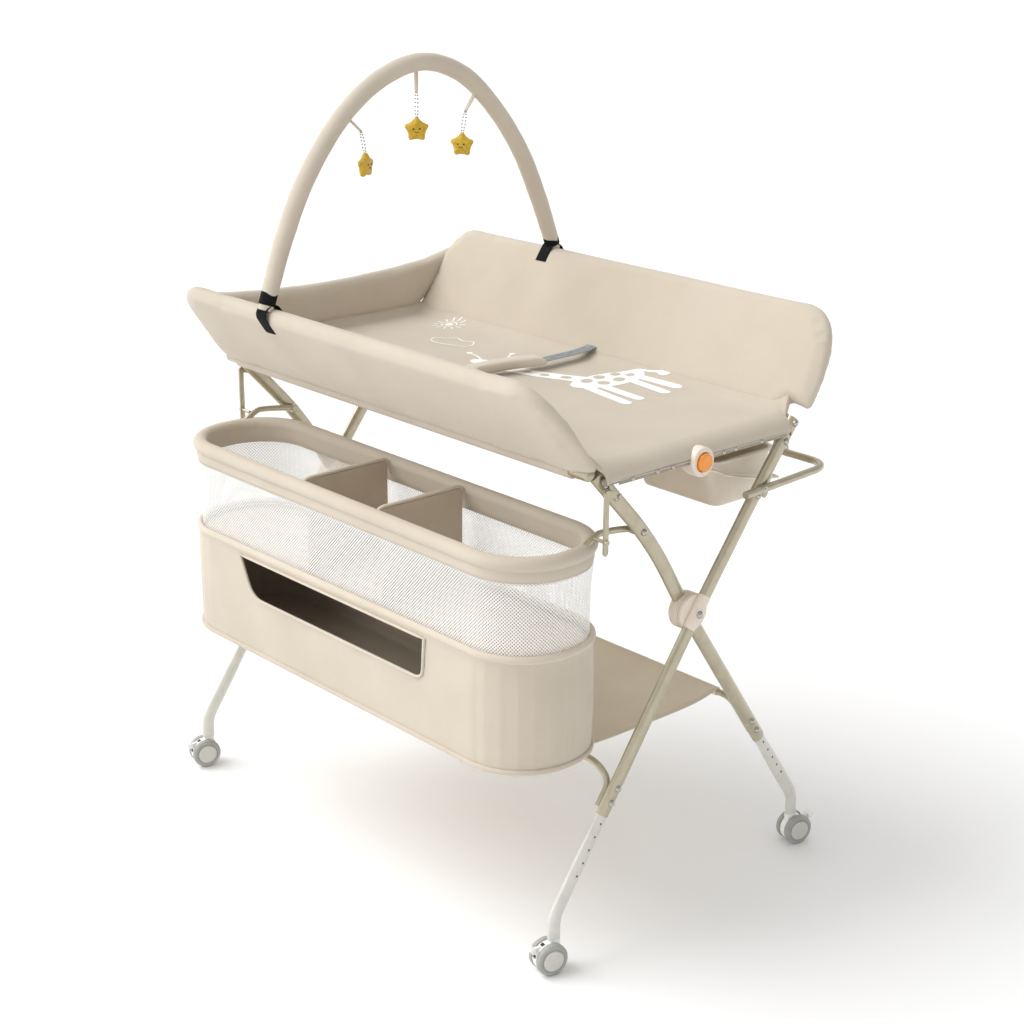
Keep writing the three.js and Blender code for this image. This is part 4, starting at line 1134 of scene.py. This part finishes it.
def tub_shell():
    """The tub: rings from the foot up its outside, over the rolled rim and down its inside."""
    low, high = np.array([222, 372, 90, 200.]), np.array([206, 379, 70, 207.])
    inward = np.array([1, -1, 1, -1.])
    rings = []
    for z, grow, r in ((571, 5, 10), (571.6, 2, 14), (574, 0.6, 17), (580, 0, 18), (600, 0, 20),
                       (625, 0, 22), (638, 0, 23), (638, -3, 25), (640, -3.8, 26),
                       (642.4, -3, 25), (643, -1, 24), (642.4, 1.6, 22), (638, 2.6, 21),
                       (600, 2.6, 18), (580, 2.6, 15), (575.5, 4, 12), (574, 9, 8)):
        k = (z - 571) / 72
        x0, x1, y0, y1 = low * (1 - k) + high * k + inward * grow
        flat = round_box(x0, x1, y0, y1, r)
        rings.append(np.column_stack([flat, np.full(len(flat), z)]))
    return np.vstack(rings), ring_faces(len(rings), len(rings[0]))


piece("washing_tub", tub_shell(), TUB, "tub", "tub_taupe", ["tub"], sharp=50)

def wire(path, side):
    """A round wire 3.6 mm thick along a path."""
    return carry(path, oval(1.8, 1.8, 12), side)


wires = [wire([[x, y, z] for x in ends], (0, 0, 1))
         for ends, y, z in (((202, 290, 382), 63, 635.8), ((205, 290, 379), 214, 594))]
for x, inward in ((199, 1), (385, -1)):
    wires.append(wire(curve([[x + 4 * inward, 63, 635.8], [x, 72, 633], [x, 102, 620],
                             [x, 162, 604], [x, 206, 596], [x + 10 * inward, 214, 594]], 6),
                      (1, 0, 0)))
for x in (230, 350):
    wires.append(wire(curve(at_x(x, ((214, 594), (240, 606), (250, 626), (258, 629), (267, 625),
                                     (270, 612))), 6), (1, 0, 0)))
piece("tub_wire_cradle", merged(*wires), WIRE, "outer_legs", "wire_champagne", ["tub_cradle"])


# ---- the lower shelf ----
for name, side, x, body in (("front", -1, 410.4, "outer_legs"), ("rear", 1, 388.4, "inner_legs")):
    half = [[x, *on_foot(side, 205)], [x, *on_foot(side, 236)], [x - 24, side * SHELF_Y, SHELF_Z],
            [x - 70, side * SHELF_Y, SHELF_Z]]
    whole = np.vstack([np.array(half), [[0, side * SHELF_Y, SHELF_Z]],
                       np.array(half)[::-1] * (-1, 1, 1)])
    bar = carry(bend(whole, 26, 10), oval(5, 5, 22), (0, side * 0.3, 1))
    piece(f"{name}_shelf_bar", bar, TUBE, body, "tube_champagne", [f"shelf_bar_{name}"])


def shelf_sheet():
    """The shelf's cloth: it hangs by up to 12 mm between its two bars. Its sag is a parabola
    across, and it meets the top of each bar's hem."""
    t = np.linspace(-1, 1, 51)
    y = t * (SHELF_Y - 1)
    x = np.linspace(-338, 338, 60)
    drop = 12 * (1 - t ** 4) ** 0.7
    grid_x, grid_y = np.meshgrid(x, y, indexing="ij")
    wave = 0.9 * np.sin(grid_x / 37 + grid_y / 90) * (1 - t ** 2)[None]
    points = np.stack([grid_x, grid_y, SHELF_Z + 6.2 - drop[None] + wave], -1).reshape(-1, 3)
    return points, quads(60, 51).tolist()


# the sling and its hems take the lighter cloth, which paints light into the shade under the tray
shelf = raw("shelf_sling", shelf_sheet(), SHELF_CLOTH_PAINTED_LIGHT, sharp=180, outward=False)
modifier(shelf, "SOLIDIFY", thickness=0.0012, offset=0)
settle(shelf)
dress(shelf, "shelf_soft", ["shelf_cloth"], SHELF_GATHER)
for name, side, body in (("front", -1, "outer_legs"), ("rear", 1, "inner_legs")):
    hem = spin(rounded_profile(6.7, -338.5, 338.5, 1, 1), (0, side * SHELF_Y, SHELF_Z), (1, 0, 0), 28)
    piece(f"{name}_shelf_hem", hem, SHELF_CLOTH_PAINTED_LIGHT, body, "fabric_beige")


# ---- the toy arch ----
ARCH_LINE = [(-292, 818), (-280, 852), (-256, 916), (-214, 999), (-150, 1079), (-77, 1131),
             (5, 1152), (84, 1129), (150, 1073), (205, 1002), (244, 926), (271, 862), (281, 836)]


def arch_cover():
    """A padded cloth tube over the arch. Its radius swells and dips by half a millimetre along
    it, and soft creases cross its inner side."""
    line = curve(ARCH_LINE, 26)
    path = np.column_stack([np.full(len(line), ARCH_X), line])
    points, faces = carry(path, oval(13.2, 13.2, 36), (1, 0, 0))
    t = np.arange(36) * 2 * np.pi / 36
    u = np.arange(len(path))[:, None]
    crease = 0.1 * np.sin(u * 0.55 + 1.5 * np.cos(t)) + 0.2 * np.sin(u * 0.09 + 2 * t)
    ends = np.minimum(u, len(path) - 1 - u)
    grow = 1 - 0.2 * np.clip(1 - ends / 52, 0, 1) ** 2
    ring = points.reshape(len(path), 36, 3) - path[:, None]
    grown = ring / 13.2 * ((13.4 + crease) * grow)[..., None]
    return (path[:, None] + grown).reshape(-1, 3), faces


piece("arch_sleeve", arch_cover(), CLOTH, "toy_arch", "fabric_beige", ["toy_arch"],
      ARCH_GATHER, 0.9, sharp=180)

cuffs = []
for (y0, z0), (y1, z1) in ((ARCH_LINE[0], ARCH_LINE[1]), (ARCH_LINE[-1], ARCH_LINE[-2])):
    along = np.array([0, y1 - y0, z1 - z0]) / math.hypot(y1 - y0, z1 - z0)
    cuffs.append(spin(rounded_profile(12.4, 8, 27, 1, 1), (ARCH_X, y0, z0), along, 40))
piece("arch_cuffs", merged(*cuffs), BLACK_WEB, "toy_arch", "webbing_black", gather=ARCH_GATHER)

TABS = [((-139, 1084), (-112, 1060)), ((-6, 1146), (-6, 1110)), ((113, 1102), (91, 1073))]
STARS = [((-104, 1009), 1.95), ((-6, 1053), 0.9), ((84, 1022), 0.6)]
tabs = []
for (y0, z0), (y1, z1) in TABS:
    tabs.append(carry([[ARCH_X, y0, z0], [ARCH_X, (y0 + y1) / 2, (z0 + z1) / 2], [ARCH_X, y1, z1]],
                      oval(4.6, 1.5, 16), (1, 0, 0), scale=[1, 1, 0.85]))
piece("arch_tabs", merged(*tabs), CLOTH, "toy_arch", "fabric_beige", gather=ARCH_GATHER)


def plush_star(centre, turn, n=90, rings=12):
    """A stuffed five-pointed star: each ring of its two faces is its soft outline drawn in, and
    the face's height is a rounded dome of how far in the ring lies."""
    a = np.arange(n) * 2 * np.pi / n
    outline = 16.2 * (1 + 0.135 * np.cos(5 * a) + 0.03 * np.cos(10 * a))
    k = np.sin(np.linspace(0, np.pi / 2, rings))
    height = 7.6 * np.sqrt(np.clip(1 - k ** 2.6, 0, 1))
    front = [(outline * s, h) for s, h in zip(k[1:], height[1:])]
    back = [(outline * s, -h) for s, h in zip(k[1:-1][::-1], height[1:-1][::-1])]
    flat = np.array([np.column_stack([r * np.sin(a), np.full(n, h), r * np.cos(a)])
                     for r, h in front + back])
    points = turned(flat.reshape(-1, 3), turn) + (ARCH_X, *centre)
    return points, ring_faces(len(flat), n)


def face_marks(centre, turn):
    """Two dot eyes and a small smile on a star's front."""
    a = np.linspace(0.15 * np.pi, 0.85 * np.pi, 9)
    smile = np.column_stack([3.2 * np.cos(a), np.full(9, -7.7), -1.2 - 2.6 * np.sin(a)])
    shapes = [carry(smile, oval(0.45, 0.45, 8), (0, 1, 0))]
    for x in (-4.6, 4.6):
        shapes.append(spin([[0.01, -0.6], [1.5, -0.5], [1.5, 0.1], [1, 0.6], [0.01, 0.8]],
                           (x, -7.3, 1.6), (0, -1, 0), 12))
    points, faces = merged(*shapes)
    return turned(points, turn) + (ARCH_X, *centre), faces


def beads(top, low, n=11):
    """A bead chain's long narrow loop: small balls evenly along an ellipse."""
    a = np.arange(2 * n) * 2 * np.pi / (2 * n)
    mid, reach = (top + low) / 2, (top - low) / 2
    shapes = []
    profile = [[0.01, -1.4], [1, -1], [1.4, 0], [1, 1], [0.01, 1.4]]
    for t in a:
        centre = mid + reach * math.cos(t) + np.array([3.4 * math.sin(t), 0, 0])
        shapes.append(spin(profile, centre, (0, 0, 1), 8))
    return merged(*shapes)


for k, ((centre, turn), (_, (ty, tz))) in enumerate(zip(STARS, TABS), 1):
    piece(f"plush_star_{k}", plush_star(centre, turn), PLUSH, f"star_{k}", "star_mustard",
          [f"star_{k}"], ARCH_GATHER, 0.8, sharp=180)
    piece(f"star_face_{k}", face_marks(centre, turn), BLACK, f"star_{k}", gather=ARCH_GATHER)
    top = np.array([ARCH_X, ty, tz + 1.0])
    low = np.array([ARCH_X, centre[0], centre[1] + 15.0])
    piece(f"star_chain_{k}", beads(top, low), CHROME, f"star_{k}", gather=ARCH_GATHER)


def wall_strap(side, tube, rise):
    """Webbing that clips the arch's end to a side wall: a flat band over the wall's top, down both its
    faces."""
    place, h = lean(side, tube, rise)
    a = np.linspace(0, np.pi, 15)
    line = np.vstack([[[15.2, h - 36], [15.0, h - 20]],
                      np.stack([14.6 * np.cos(a), h - 11 + 13.2 * np.sin(a)], 1),
                      [[-15.0, h - 20], [-15.2, h - 36]]])
    path = place(np.column_stack([np.full(len(line), ARCH_X), line]))
    return carry(path, strap_section(12, 1.8, 20, 0.3), (1, 0, 0))


piece("front_arch_strap", wall_strap(-1, FRONT_TUBE, FRONT_LEAN), BLACK_WEB, "inner_legs",
      "webbing_black", ["arch_strap_front"])
piece("rear_arch_strap", wall_strap(1, REAR_TUBE, REAR_LEAN), BLACK_WEB, "outer_legs",
      "webbing_black", ["arch_strap_rear"])


# ---- floor and lights ----
def lamp(name, kind, place, toward, **settings):
    """A light at a place in metres that looks along a direction."""
    data = bpy.data.lights.new(name, kind)
    for key, value in settings.items():
        setattr(data, key, value)
    made = linked(name, data)
    made.location = place
    made.rotation_euler = Vector(toward).to_track_quat("-Z", "Y").to_euler()


def studio_floor():
    """A level round floor that curves up far away as a parabola, so that its edge isn't seen."""
    radii = np.array([2, 8, 20, 40, 48, 56, 64, 72, 80, 90.0])
    a = np.arange(64) * 2 * np.pi / 64
    r = np.repeat(radii[:, None], 64, 1)
    z = -0.0005 + np.clip(r - 40, 0, None) ** 2 / 180
    points = np.stack([r * np.cos(a), r * np.sin(a), z], -1).reshape(-1, 3)
    return points * 1000 - DATUM, quads(10, 64, False, True).tolist() + [list(range(64))[::-1]]


raw("floor", studio_floor(), PAPER)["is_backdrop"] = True


# even light from a large far source, whose width softens the shadow's edge, and a soft box
lamp("key", "SUN", (0, 0, 0), (0.62, 0.5, -0.95), angle=math.radians(42), energy=1.62)
lamp("sheen", "AREA", (-0.6, -3.2, 2.2), (0.6, 3.2, -1.6), shape="SQUARE", size=1.6, energy=16)
world = bpy.data.worlds.new("studio")
world.use_nodes = True
sky = world.node_tree
direction = add(sky, "TexCoord")
facing = add(sky, "VectorMath", {0: (direction, "Generated"), 1: (-0.78, -0.5, 0.38)},
             operation="DOT_PRODUCT")
studio = add(sky, "MapRange", {"Value": (facing, "Value"), "From Min": -1.0,
             "To Min": 0.3, "To Max": 1.12})
sky.links.new(studio.outputs["Result"], sky.nodes["Background"].inputs["Strength"])
sky.nodes["Background"].inputs["Color"].default_value = (1, 1, 1, 1)
bpy.context.scene.world = world
bpy.context.scene.view_settings.view_transform = "Standard"

low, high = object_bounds()
